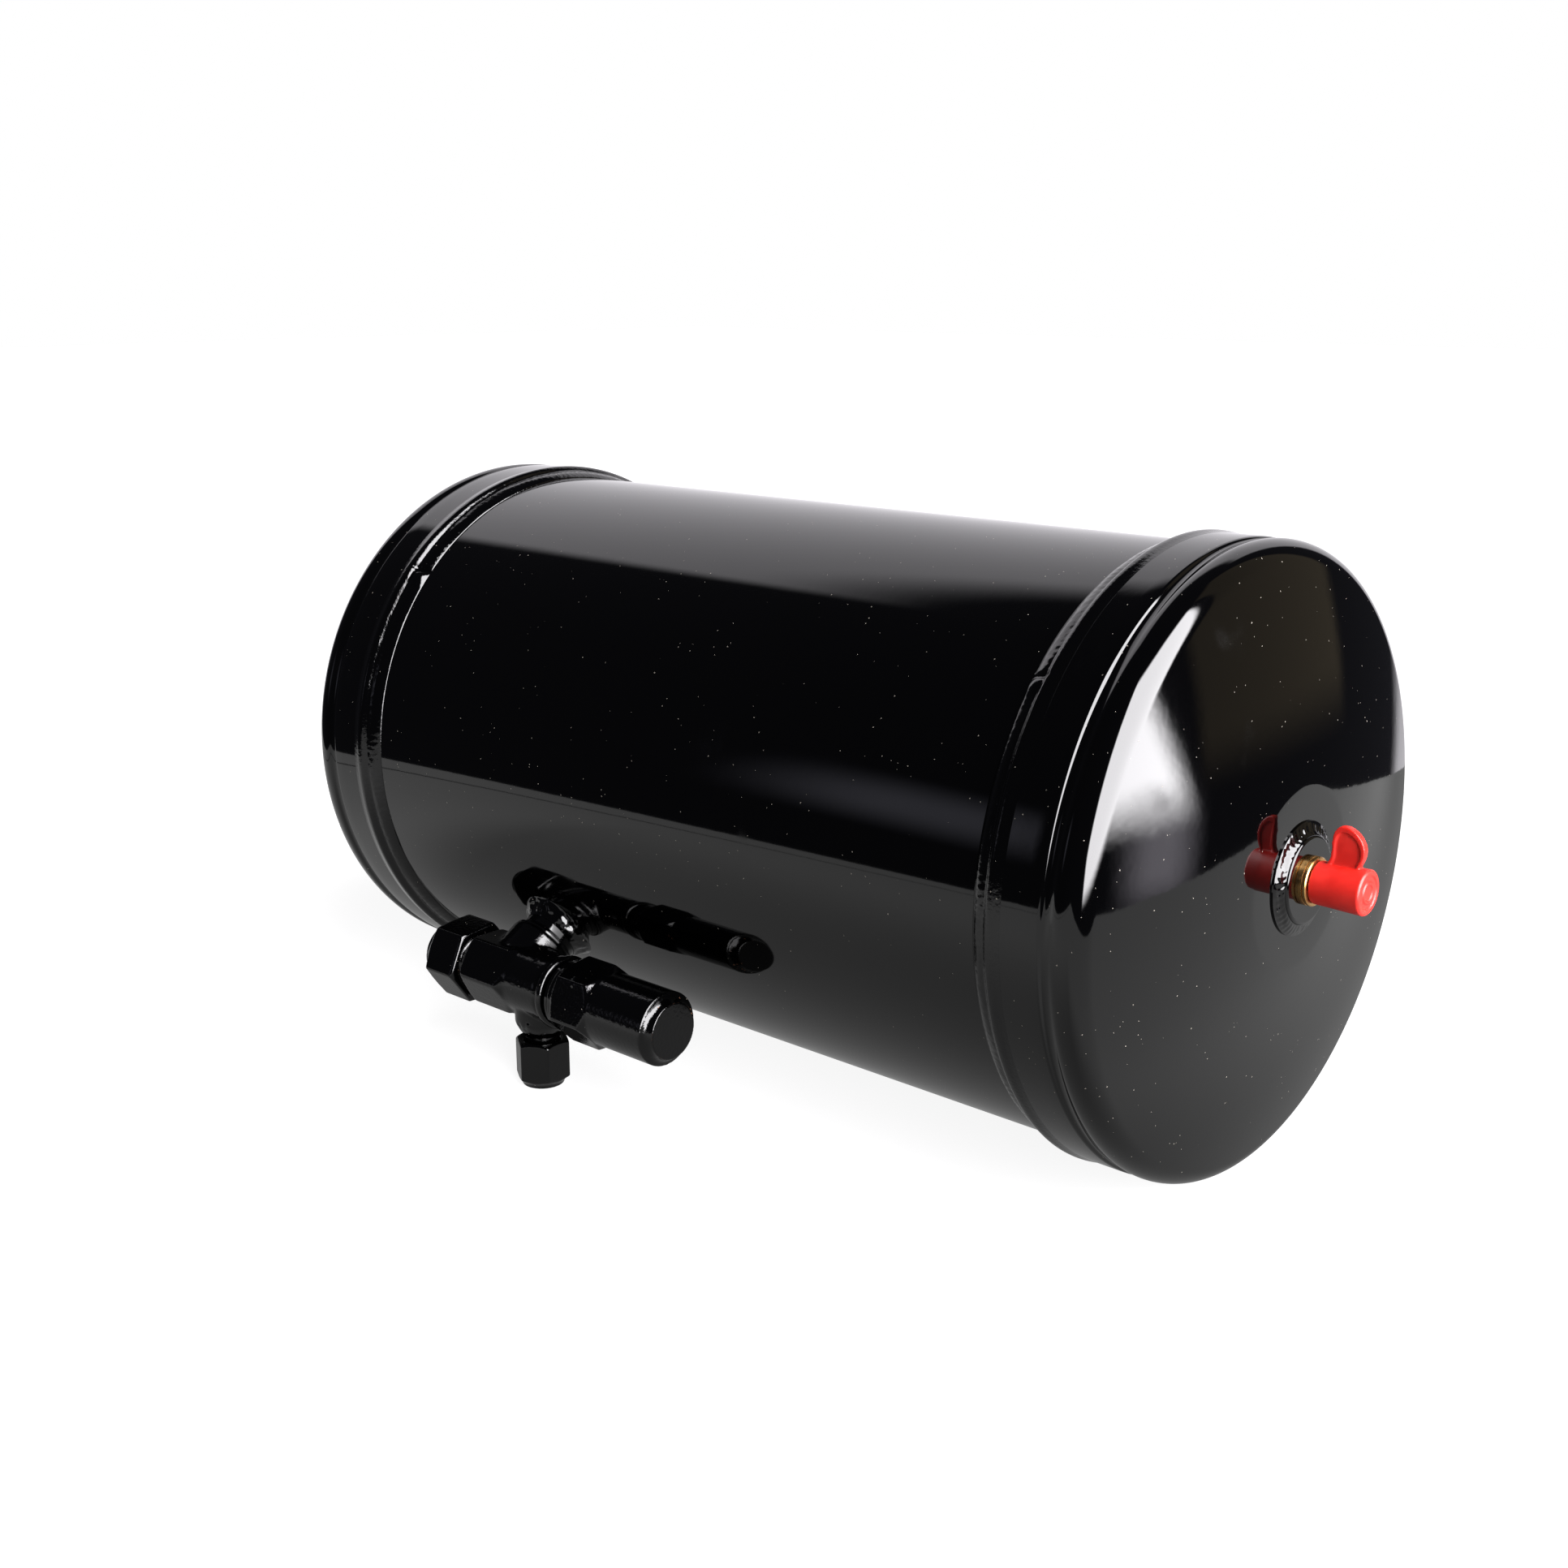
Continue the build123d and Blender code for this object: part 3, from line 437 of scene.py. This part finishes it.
def dress(mesh, name, finish, body, replaces, crease):
    """Makes the piece of a mesh, with its finish, its body and the nodes that it stands for."""
    mesh.validate()
    shade(mesh, crease)
    mesh.materials.clear()
    mesh.materials.append(finishes[finish])
    made = bpy.data.objects.new(name, mesh)
    scene.collection.objects.link(made)
    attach(made, body)
    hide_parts(*replaces)
    return made


def turned(outline, steps=ROUND_STEPS, side=1):
    """Points and faces of a closed (x, radius) outline turned about the X axis."""
    points, rows = [], []
    for x, r in outline:
        if r < ON_AXIS:
            rows.append([len(points)] * steps)
            points.append((side * x, 0, 0))
            continue
        rows.append(range(len(points), len(points) + steps))
        angles = [2 * pi * k / steps for k in range(steps)]
        points += [(side * x, r * cos(angle), r * sin(angle)) for angle in angles]
    faces = []
    for a, b in zip(rows, rows[1:] + rows[:1]):
        for k in range(steps):
            n = (k + 1) % steps
            face = list(dict.fromkeys((a[k], a[n], b[n], b[k])))
            if len(face) > 2:
                faces.append(face if side > 0 else face[::-1])
    return points, faces


def s_curve(a, b, count=10):
    """Points after a on two tangent arcs to b, level with the axis at both ends."""
    run, rise = b[0] - a[0], b[1] - a[1]
    radius = (run ** 2 + rise ** 2) / (4 * abs(rise))
    way = 1 if rise > 0 else -1
    points = []
    for i in range(1, count + 1):
        along = run * i / count
        near = min(along, run - along)
        bow = radius - sqrt(radius ** 2 - near ** 2)
        points.append((a[0] + along, a[1] + way * bow if along <= run / 2 else b[1] - way * bow))
    return points


def crown_ball(inset):
    """Radius of the crown and the place of its centre on the axis, where it runs into the knuckle."""
    turn_r = KNUCKLE_R - inset
    rise = HEAD_DEPTH - BEAD_START - BEAD_WIDTH - inset
    centre_r = SKIRT_R - inset - turn_r
    crown_r = (rise ** 2 + centre_r ** 2 - turn_r ** 2) / (2 * (rise - turn_r))
    return crown_r, SKIRT_EDGE + HEAD_DEPTH - inset - crown_r


def head_line(inset, stop_r):
    """The head's outline from the skirt's edge over bead, knuckle and crown, in to stop_r."""
    r, turn_r = SKIRT_R - inset, KNUCKLE_R - inset
    centre_r = r - turn_r
    crown_r, crown_x = crown_ball(inset)
    lean = asin(centre_r / (crown_r - turn_r))
    start = SKIRT_EDGE + BEAD_START + BEAD_WIDTH
    line = [(SKIRT_EDGE + BEAD_START * i / 4, r) for i in range(5)]
    low = (line[-1][0] + BEAD_STEP, r - BEAD_DEPTH)
    line += s_curve(line[-1], low)
    line += s_curve(low, (start, r))
    for i in range(1, KNUCKLE_STEPS + 1):
        turn = radians(90) - (radians(90) - lean) * i / KNUCKLE_STEPS
        line.append((start + turn_r * cos(turn), centre_r + turn_r * sin(turn)))
    last = asin(stop_r / crown_r)
    for i in range(1, CROWN_STEPS + 1):
        turn = lean + (last - lean) * i / CROWN_STEPS
        at, out = crown_x + crown_r * cos(turn), crown_r * sin(turn)
        if stop_r:
            at -= DRAWN_SLOPE * max(0.0, sqrt((DRAWN_R - out) ** 2 + DRAWN_EASE) + DRAWN_R - out) / 2
        line.append((at, out))
    return line


def cut_round(target, centre, axis, radius, length):
    """Cuts a round hole through a piece."""
    steps = 96
    side = Vector((1, 0, 0))
    up = axis.cross(side).normalized()
    angles = [2 * pi * k / steps for k in range(steps)]
    ring = [side * radius * cos(angle) + up * radius * sin(angle) for angle in angles]
    points = [centre + axis * length * end / 2 + point for end in (-1, 1) for point in ring]
    faces = [(k, (k + 1) % steps, steps + (k + 1) % steps, steps + k) for k in range(steps)]
    faces += [tuple(range(steps))[::-1], tuple(range(steps, 2 * steps))]
    mesh = plain_mesh("hole", points, faces)
    even_normals(mesh)
    tool = bpy.data.objects.new("hole", mesh)
    scene.collection.objects.link(tool)
    cut = target.modifiers.new("hole", "BOOLEAN")
    cut.object, cut.operation, cut.solver = tool, "DIFFERENCE", "EXACT"
    settle(target)
    bpy.data.objects.remove(tool)


def settle(made):
    """Applies a piece's modifiers to its mesh."""
    graph = bpy.context.evaluated_depsgraph_get()
    mesh = bpy.data.meshes.new_from_object(made.evaluated_get(graph))
    made.modifiers.clear()
    made.data = mesh


def make_shell():
    """The rolled shell, with the hole that the neck goes through."""
    beside_neck = 16 * MM
    rows = [-SHELL_HALF, -0.1, NECK_X - beside_neck, NECK_X + beside_neck, 0.0, 0.05, 0.1, SHELL_HALF]
    outline = [(x, SHELL_R) for x in rows] + [(x, SHELL_R - SHELL_WALL) for x in rows[::-1]]
    points, faces = turned(outline)
    shell = enamelled("tank_shell", points, [face[::-1] for face in faces], "tank", "shell")
    mouth = OUTWARD * SHELL_R + Vector((NECK_X, 0, 0))
    cut_round(shell, mouth, OUTWARD, NECK_R + NECK_ROOM, length=30 * MM)
    shade(shell.data, FLAT_CREASE)


def make_heads():
    """The two dished heads; only the near one is bored, for the charging boss."""
    for name, side, hole in (("near", 1, BOSS_HOLE_R), ("far", -1, 0.0)):
        outer, inner = head_line(0.0, hole), head_line(HEAD_WALL, hole)
        points, faces = turned(outer + inner[::-1], side=side)
        enamelled("tank_head_" + name, points, [face[::-1] for face in faces], "head", "head_" + name)


def ripple(theta, radius, across):
    """Height of the crescent ripples that a weld pool leaves, by angle and place across the bead."""
    pitch, bow = 2.1 * MM, 1.6 * MM
    along = theta * radius
    uneven = noise.noise(Vector((along / (6 * MM), 3.3, 0))) * 0.8 * MM
    return cos(2 * pi * (along + bow * across ** 2 + uneven) / pitch)


def make_girth_weld(name, side, stop_angle):
    """Painted fillet weld round a skirt's edge, with ripples and the lump where the pass ends.

    The section is in millimetres: x from the skirt's edge, and radius.
    """
    steps = 1500
    toe = [(-6.5, 88.96), (-6.2, 89.25), (-5.6, 89.75), (-4.8, 90.25), (-3.9, 90.62), (-3.1, 90.83),
           (-2.4, 90.93), (-1.9, 90.97), (-1.5, 91.05), (-1.15, 91.35), (-0.8, 91.8), (-0.4, 92.2),
           (0.0, 92.5), (0.4, 92.66), (0.9, 92.7), (1.4, 92.68), (1.9, 92.6), (2.6, 92.42), (3.4, 92.27),
           (4.3, 92.16)]
    root = [(4.3, 92.0), (2.0, 91.9), (0.0, 91.9), (0.0, 89.1), (-3.0, 88.9), (-6.5, 88.9)]
    outline = toe + root
    points = []
    for k in range(steps):
        theta = 2 * pi * k / steps
        turn = (theta - stop_angle + pi) % (2 * pi) - pi
        lump = 0.9 * np.exp(-(turn / 0.028) ** 2) - 1.25 * np.exp(-((turn + 0.036) / 0.011) ** 2)
        for i, (x, r) in enumerate(outline):
            rise = 0.0
            if 0 < i < 9:
                across = (i - 4.5) / 4.5
                share = 1 - across ** 2
                rise = share * (0.012 * ripple(theta, SHELL_R, across) + 0.8 * lump)
                rise += share * 0.22 * noise.noise(Vector((x / 3, theta * 9, side * 4.0)))
                rise += share * 0.10 * noise.noise(Vector((x * 1.4, theta * 60, side * 7.0)))
            elif 8 < i < 13:
                rise = 0.10 * noise.noise(Vector((x, theta * 14, side * 2.0))) - 0.35 * max(0, -lump)
            r = min(r + rise, REST_R / MM)
            at = SKIRT_EDGE / MM + x
            points.append((side * at * MM, r * MM * cos(theta), r * MM * sin(theta)))
    faces = ring_faces(steps, len(outline), flip=side > 0)
    enamelled("girth_bead_" + name, points, faces, "weld", "girth_weld_" + name, SOFT_CREASE)


def make_ring_bead(name, node, finish, point_at, profile, lumps, seed, ripples=0.0, radius=0.0):
    """A weld bead round a spigot: profile gives (radius, height) for an angle and a share along it.

    lumps and ripples are heights, and radius is where the ripples are measured along the bead.
    """
    steps, count = 420, 22
    pitch, bow, depth = 1.9 * MM, 0.9 * MM, 0.6 * MM
    points = []
    for k in range(steps):
        phi = 2 * pi * k / steps
        for i in range(count):
            share = i / (count - 1)
            out, high = profile(phi, share)
            mid = 4 * share * (1 - share)
            wave = ripples * cos(2 * pi * (phi * radius + bow * (2 * share - 1) ** 2) / pitch)
            rough = lumps * noise.noise(Vector((cos(phi) * 2.2, sin(phi) * 2.2, share * 1.5 + seed)))
            rough += 0.2 * lumps * noise.noise(Vector((cos(phi) * 7, sin(phi) * 7, share * 4 + seed)))
            rise = mid * (wave + rough)
            points.append(point_at(phi, out + 0.7 * rise, high + 0.7 * rise))
        outer, foot = profile(phi, 1.0)
        inner = profile(phi, 0.0)[0]
        points.append(point_at(phi, outer, foot - depth))
        points.append(point_at(phi, inner, foot - depth))
    bead = enamelled(name, points, ring_faces(steps, count + 2), finish, node, SOFT_CREASE)
    even_normals(bead.data)


def neck_point(phi, out, high):
    """A point round the neck: out from its axis and high from the tank's axis."""
    across = OUTWARD.cross(Vector((1, 0, 0)))
    return Vector((NECK_X + out * cos(phi), 0, 0)) + across * out * sin(phi) + OUTWARD * high


def boss_point(phi, out, high):
    """A point round the charging boss: out from its axis and high along it."""
    return Vector((high, out * cos(phi), out * sin(phi)))


def neck_weld_profile(phi, share):
    """Fillet from the neck's side down to the shell's round surface."""
    leg, rise = 3.8 * MM, 4.2 * MM
    out = NECK_R + NECK_ROOM + leg * share
    foot = sqrt(SHELL_R ** 2 - (out * sin(phi)) ** 2)
    return out, foot + rise * (1 - share) ** 1.25


def neck_braze_profile(phi, share):
    """Fillet from the neck's side up to the mouth of the valve's socket."""
    leg, rise, mouth = 1.5 * MM, 2.2 * MM, 97.3 * MM
    return NECK_R + NECK_ROOM + leg * share, mouth - rise * (1 - share) ** 1.4


def boss_weld_profile(phi, share):
    """Fillet round the charging boss, flat against the crown."""
    leg, rise = 3.6 * MM, 1.55 * MM
    out = BOSS_HOLE_R + leg * share
    crown_r, crown_x = crown_ball(0.0)
    foot = crown_x + sqrt(crown_r ** 2 - out ** 2)
    return out, foot + rise * (1 - share) ** 1.1


# ---- paint-flooded castings and nuts -----------------------------------------------------------------
FLOW = 0.6               # how far a point moves towards its neighbours in one round


def flooded(node, name, finish, body, grid, rounds, keep, nibs=()):
    """The CAD piece with its corners rounded and its crevices filled as by a thick coat of paint.

    grid is how fine the coat is and rounds how far it flows. keep marks what stays crisp, and nibs
    are runs and specks in the paint: a place, a radius and a height.
    """
    made = bpy.data.objects.new(name, nodes[node].data.copy())
    scene.collection.objects.link(made)
    remesh = made.modifiers.new("coat", "REMESH")
    remesh.mode, remesh.voxel_size = "VOXEL", grid
    settle(made)
    mesh = made.data
    co = np.empty(len(mesh.vertices) * 3)
    mesh.vertices.foreach_get("co", co)
    co = co.reshape(-1, 3)
    ends = np.empty(len(mesh.edges) * 2, int)
    mesh.edges.foreach_get("vertices", ends)
    a, b = ends.reshape(-1, 2).T
    weight = 1 - keep(co)
    degree = np.bincount(np.concatenate((a, b)), minlength=len(co))[:, None]
    for _ in range(rounds):
        total = np.zeros_like(co)
        np.add.at(total, a, co[b])
        np.add.at(total, b, co[a])
        co += FLOW * weight[:, None] * (total / np.maximum(degree, 1) - co)
    normal = np.empty(len(mesh.vertices) * 3)
    mesh.vertices.foreach_set("co", co.ravel())
    mesh.update()
    mesh.vertices.foreach_get("normal", normal)
    for at, radius, height in nibs:
        gap = np.linalg.norm(co - np.array(at), axis=1)
        co += normal.reshape(-1, 3) * (height * np.exp(-(gap / radius) ** 2))[:, None]
    box = np.array([tuple(v.co) for v in nodes[node].data.vertices])
    mesh.vertices.foreach_set("co", np.clip(co, box.min(axis=0), box.max(axis=0)).ravel())
    bpy.data.objects.remove(made)
    return dress(mesh, name, finish, body, [node], crease=180)


def near_axis(across, up, at, radius):
    """Marks what lies within radius of an axis; across and up number its two other directions."""
    def keep(co):
        return (np.hypot(co[:, across] - at[across], co[:, up] - at[up]) < radius) * 1.0
    return keep


def step_mask(values, low, high):
    """1 between low and high, fading out over half a millimetre."""
    fade = 0.5 * MM
    rising = np.clip((values - low) / fade + 0.5, 0, 1)
    return rising * np.clip((high - values) / fade + 0.5, 0, 1)


def valve_threads(co):
    """Marks the threads and bores of the valve body, which stay crisp."""
    outlet = step_mask(co[:, 0], -86.0 * MM, -70.2 * MM)
    stem = step_mask(co[:, 0], -25.3 * MM, -15.0 * MM)
    port = step_mask(-co[:, 2], 77.5 * MM, 95.0 * MM) * near_axis(0, 1, PORT_AXIS, 8.0 * MM)(co)
    bore = near_axis(1, 2, VALVE_AXIS, 7.6 * MM)(co)
    return np.clip(outlet + stem + port + bore, 0, 1)


def make_valve():
    """The valve body and its three caps, each under its own thick coat of paint."""
    runs = [((-44.5, -92.5, -48.2), 0.9, 0.5), ((-40.5, -95.0, -48.7), 0.7, 0.45),
            ((-46.5, -98.5, -50.0), 0.7, 0.4), ((-37.2, -97.5, -49.2), 0.8, 0.4),
            ((-56.0, -90.5, -48.5), 1.0, 0.45), ((-33.7, -101.0, -50.0), 0.6, 0.3),
            ((-44.0, -103.5, -69.0), 0.9, 0.5), ((-38.0, -102.0, -70.5), 0.8, 0.4),
            ((-42.0, -102.0, -71.5), 0.9, -0.35), ((-39.5, -102.3, -72.5), 0.7, -0.3)]
    specks = [((-15.3, -101.8, -48.4), 0.6, 0.3), ((-14.0, -104.0, -50.0), 0.5, 0.25)]
    runs, specks = [[(np.array(at) * MM, radius * MM, height * MM) for at, radius, height in nibs]
                    for nibs in (runs, specks)]
    flooded("valve_body", "valve_casting", "valve", "root", 0.36 * MM, 14,
            valve_threads, runs)
    flooded("outlet_nut", "outlet_cap_nut", "nuts", "outlet_nut", 0.3 * MM, 9,
            near_axis(1, 2, VALVE_AXIS, 10.2 * MM))
    flooded("gauge_nut", "gauge_cap_nut", "nuts", "gauge_nut", 0.24 * MM, 8,
            near_axis(0, 1, PORT_AXIS, 6.2 * MM))
    flooded("stem_cap", "stem_cap_shell", "nuts", "stem_cap", 0.28 * MM, 6,
            near_axis(1, 2, VALVE_AXIS, 10.4 * MM), specks)


def make_dust_cap():
    """The push-on cap, with the small rounding that moulding leaves."""
    flooded("dust_cap", "push_on_cap", "red_plastic", "dust_cap", 0.2 * MM, 4,
            near_axis(1, 2, (0, 0, 0), 5.9 * MM))


def make_beads():
    """Every weld and the brazed joint; the angles are where a girth weld's pass ends."""
    make_girth_weld("far", -1, radians(138.4))
    make_girth_weld("near", 1, radians(139.5))
    make_ring_bead("neck_bead", "neck_weld", "blob", neck_point, neck_weld_profile, 1.0 * MM, 0.4)
    make_ring_bead("neck_braze_bead", "neck_braze", "blob", neck_point, neck_braze_profile, 0.6 * MM, 2.6)
    make_ring_bead("boss_bead", "boss_weld", "boss", boss_point, boss_weld_profile, 0.6 * MM, 5.1,
                   ripples=0.05 * MM, radius=14.5 * MM)


def dress_cad_nodes():
    """Gives each CAD node that stays its finish."""
    worn = {"end_boss": "boss", "neck": "blob", "charge_body": "brass", "charge_core": "brass",
            "charge_pin": "bare_steel", "charge_seal": "soft_seal", "charge_spring": "spring_steel",
            "dip_tube": "copper", "seat_ring": "brass", "back_seat": "brass", "packing_washer": "brass",
            "packing": "soft_seal", "gland_nut": "brass", "seat_disc": "brass", "stem": "bare_steel",
            "outlet_seal": "copper", "gauge_seal": "copper", "cap_gasket": "painted_gasket"}
    for name, node in nodes.items():
        finish = finishes[worn.get(name, "tank")]
        for slot in node.material_slots:
            slot.material = finish


# ---- stage ------------------------------------------------------------------------------------------
def flat_sheet(name, corners, z, material):
    """One flat face of the stage."""
    mesh = plain_mesh(name, [(x, y, z) for x, y in corners], [tuple(range(len(corners)))])
    mesh.materials.append(material)
    sheet = bpy.data.objects.new(name, mesh)
    scene.collection.objects.link(sheet)
    return sheet


def glow(name, strength, diffuse=0.0, shade=None):
    """A pale stage surface, part lit by itself; shade is how far its glow dims close to the tank, a painted
    shadow of the tank.
    """
    material = bpy.data.materials.new(name)
    material.use_nodes = True
    tree = material.node_tree
    tree.nodes.clear()
    # painted shadow of the tank: the glow falls to strength - shade close beside and under the tank
    if shade:
        at = put(tree, "ShaderNodeSeparateXYZ", {0: own_place(tree)}).outputs
        beside = ramp(tree, math(tree, "ABSOLUTE", at["X"]), 0.13, 0.26)
        front = ramp(tree, math(tree, "MULTIPLY", at["Y"], -1.0), 0.02, 0.40)
        strength = ramp(tree, math(tree, "MAXIMUM", beside, front), 0.0, 1.0, strength - shade, strength)
    light = put(tree, "ShaderNodeEmission", {"Color": (1, 1, 1, 1), "Strength": strength})
    matt = put(tree, "ShaderNodeBsdfDiffuse", {"Color": (diffuse, diffuse, diffuse, 1)})
    both = put(tree, "ShaderNodeAddShader", {0: light.outputs[0], 1: matt.outputs[0]})
    put(tree, "ShaderNodeOutputMaterial", {"Surface": both.outputs[0]})
    return material


def make_floor():
    """The floor that the camera sees, and the glowing paper that the tank's gloss sees, with painted shadow
    close to the tank.
    """
    z = -REST_R - 0.05 * MM
    big = 6.0
    corners = [(-big, -big), (big, -big), (big, big), (-big, big)]
    floor = flat_sheet("floor", corners, z, glow("pale_floor", 0.90, 0.16))
    floor.visible_glossy = floor.visible_diffuse = floor.visible_transmission = False
    # the paper ends on the line x + y = -edge, with a thin unlit gap along x + y = -line that the gloss sees as
    # a dark line; both sheets glow with painted shadow close to the tank
    edge, line, half, right, back = 0.758, 0.640, 0.004, 0.47, 0.55
    for name, low, high in (("paper", line - half, None), ("paper_rim", edge, line + half)):
        corners = [(right, -low - right), (-low - back, back)]
        corners += [(right, back)] if high is None else [(-high - back, back), (right, -high - right)]
        sheet = flat_sheet(name, corners, z - 0.02 * MM, glow(name, 0.70, shade=0.38))
        sheet.visible_camera = False


def make_soft_box_group():
    """Mask of a soft light in the surroundings, by azimuth and elevation in degrees."""
    tree, given, out = new_group("soft_box", [
        ("Azimuth", 0.0), ("Half Width", 20.0), ("Low", 0.0), ("High", 40.0),
        ("Side Fade", 4.0), ("End Fade", 4.0), ("Lean", 0.0)], [("Mask", "NodeSocketFloat")])
    way = put(tree, "ShaderNodeSeparateXYZ", {0: put(tree, "ShaderNodeTexCoord").outputs["Generated"]}).outputs
    azimuth = math(tree, "MULTIPLY", math(tree, "ARCTAN2", way["Y"], way["X"]), 180 / pi)
    height = math(tree, "MULTIPLY", math(tree, "ARCSINE", way["Z"]), 180 / pi)
    lean = math(tree, "MULTIPLY", given["Lean"], math(tree, "MINIMUM", height, 5.0))
    turned_by = math(tree, "ADD", math(tree, "SUBTRACT", azimuth, given["Azimuth"]), lean)
    off = math(tree, "WRAP", turned_by, 180.0, -180.0)
    inner = math(tree, "SUBTRACT", given["Half Width"], given["Side Fade"])
    across = math(tree, "SUBTRACT", 1.0, ramp(tree, math(tree, "ABSOLUTE", off), inner, given["Half Width"]))
    rising = ramp(tree, height, given["Low"], math(tree, "ADD", given["Low"], given["End Fade"]))
    falling = ramp(tree, height, math(tree, "SUBTRACT", given["High"], given["End Fade"]), given["High"])
    shut = math(tree, "MULTIPLY", rising, math(tree, "SUBTRACT", 1.0, falling))
    tree.links.new(math(tree, "MULTIPLY", across, shut), out["Mask"])
    return tree


def make_surroundings():
    """A studio of soft boxes: white wall behind, tall window box at the charging end, dark in front."""
    world = bpy.data.worlds.new("studio")
    world.use_nodes = True
    scene.world = world
    tree = world.node_tree
    tree.nodes.clear()
    box = make_soft_box_group()
    white_wall = dict(Azimuth=132.0, Half_Width=45.0, Low=-30.0, High=53.0, Side_Fade=5.0, End_Fade=7.0)
    window = dict(Azimuth=0.0, Half_Width=37.5, Low=-10.5, High=64.0, Side_Fade=5.0, End_Fade=6.0, Lean=0.5)
    sill = dict(Azimuth=35.0, Half_Width=8.0, Low=-18.0, High=-6.0, Side_Fade=7.0, End_Fade=5.0)
    drab_wall = dict(Azimuth=56.0, Half_Width=16.0, Low=-8.0, High=64.0, Side_Fade=3.0, End_Fade=6.0)
    front_glow = dict(Azimuth=-127.0, Half_Width=7.0, Low=1.0, High=20.0, Side_Fade=6.0, End_Fade=9.0)
    total = (0.030, 0.030, 0.036)
    for values, colour in ((white_wall, (1.12, 1.09, 1.14)), (window, (19.0, 18.7, 19.2)),
                           (sill, (1.7, 1.6, 1.8)), (drab_wall, (0.18, 0.145, 0.09)),
                           (front_glow, (0.42, 0.42, 0.5))):
        mask = place(tree, box, **values)["Mask"]
        lit = put(tree, "ShaderNodeVectorMath", {0: colour, "Scale": mask}, operation="SCALE").outputs[0]
        total = put(tree, "ShaderNodeVectorMath", {0: total, 1: lit}, operation="ADD").outputs[0]
    seen = put(tree, "ShaderNodeLightPath").outputs["Is Camera Ray"]
    colour = mix_colour(tree, seen, total, (1, 1, 1, 1))
    light = put(tree, "ShaderNodeBackground", {"Color": colour, "Strength": 1.0})
    put(tree, "ShaderNodeOutputWorld", {"Surface": light.outputs[0]})
    scene.view_settings.view_transform = "Standard"
    scene.view_settings.look = "None"


set_camera()
make_surroundings()
make_floor()
dress_cad_nodes()
make_shell()
make_heads()
make_beads()
make_valve()
make_dust_cap()
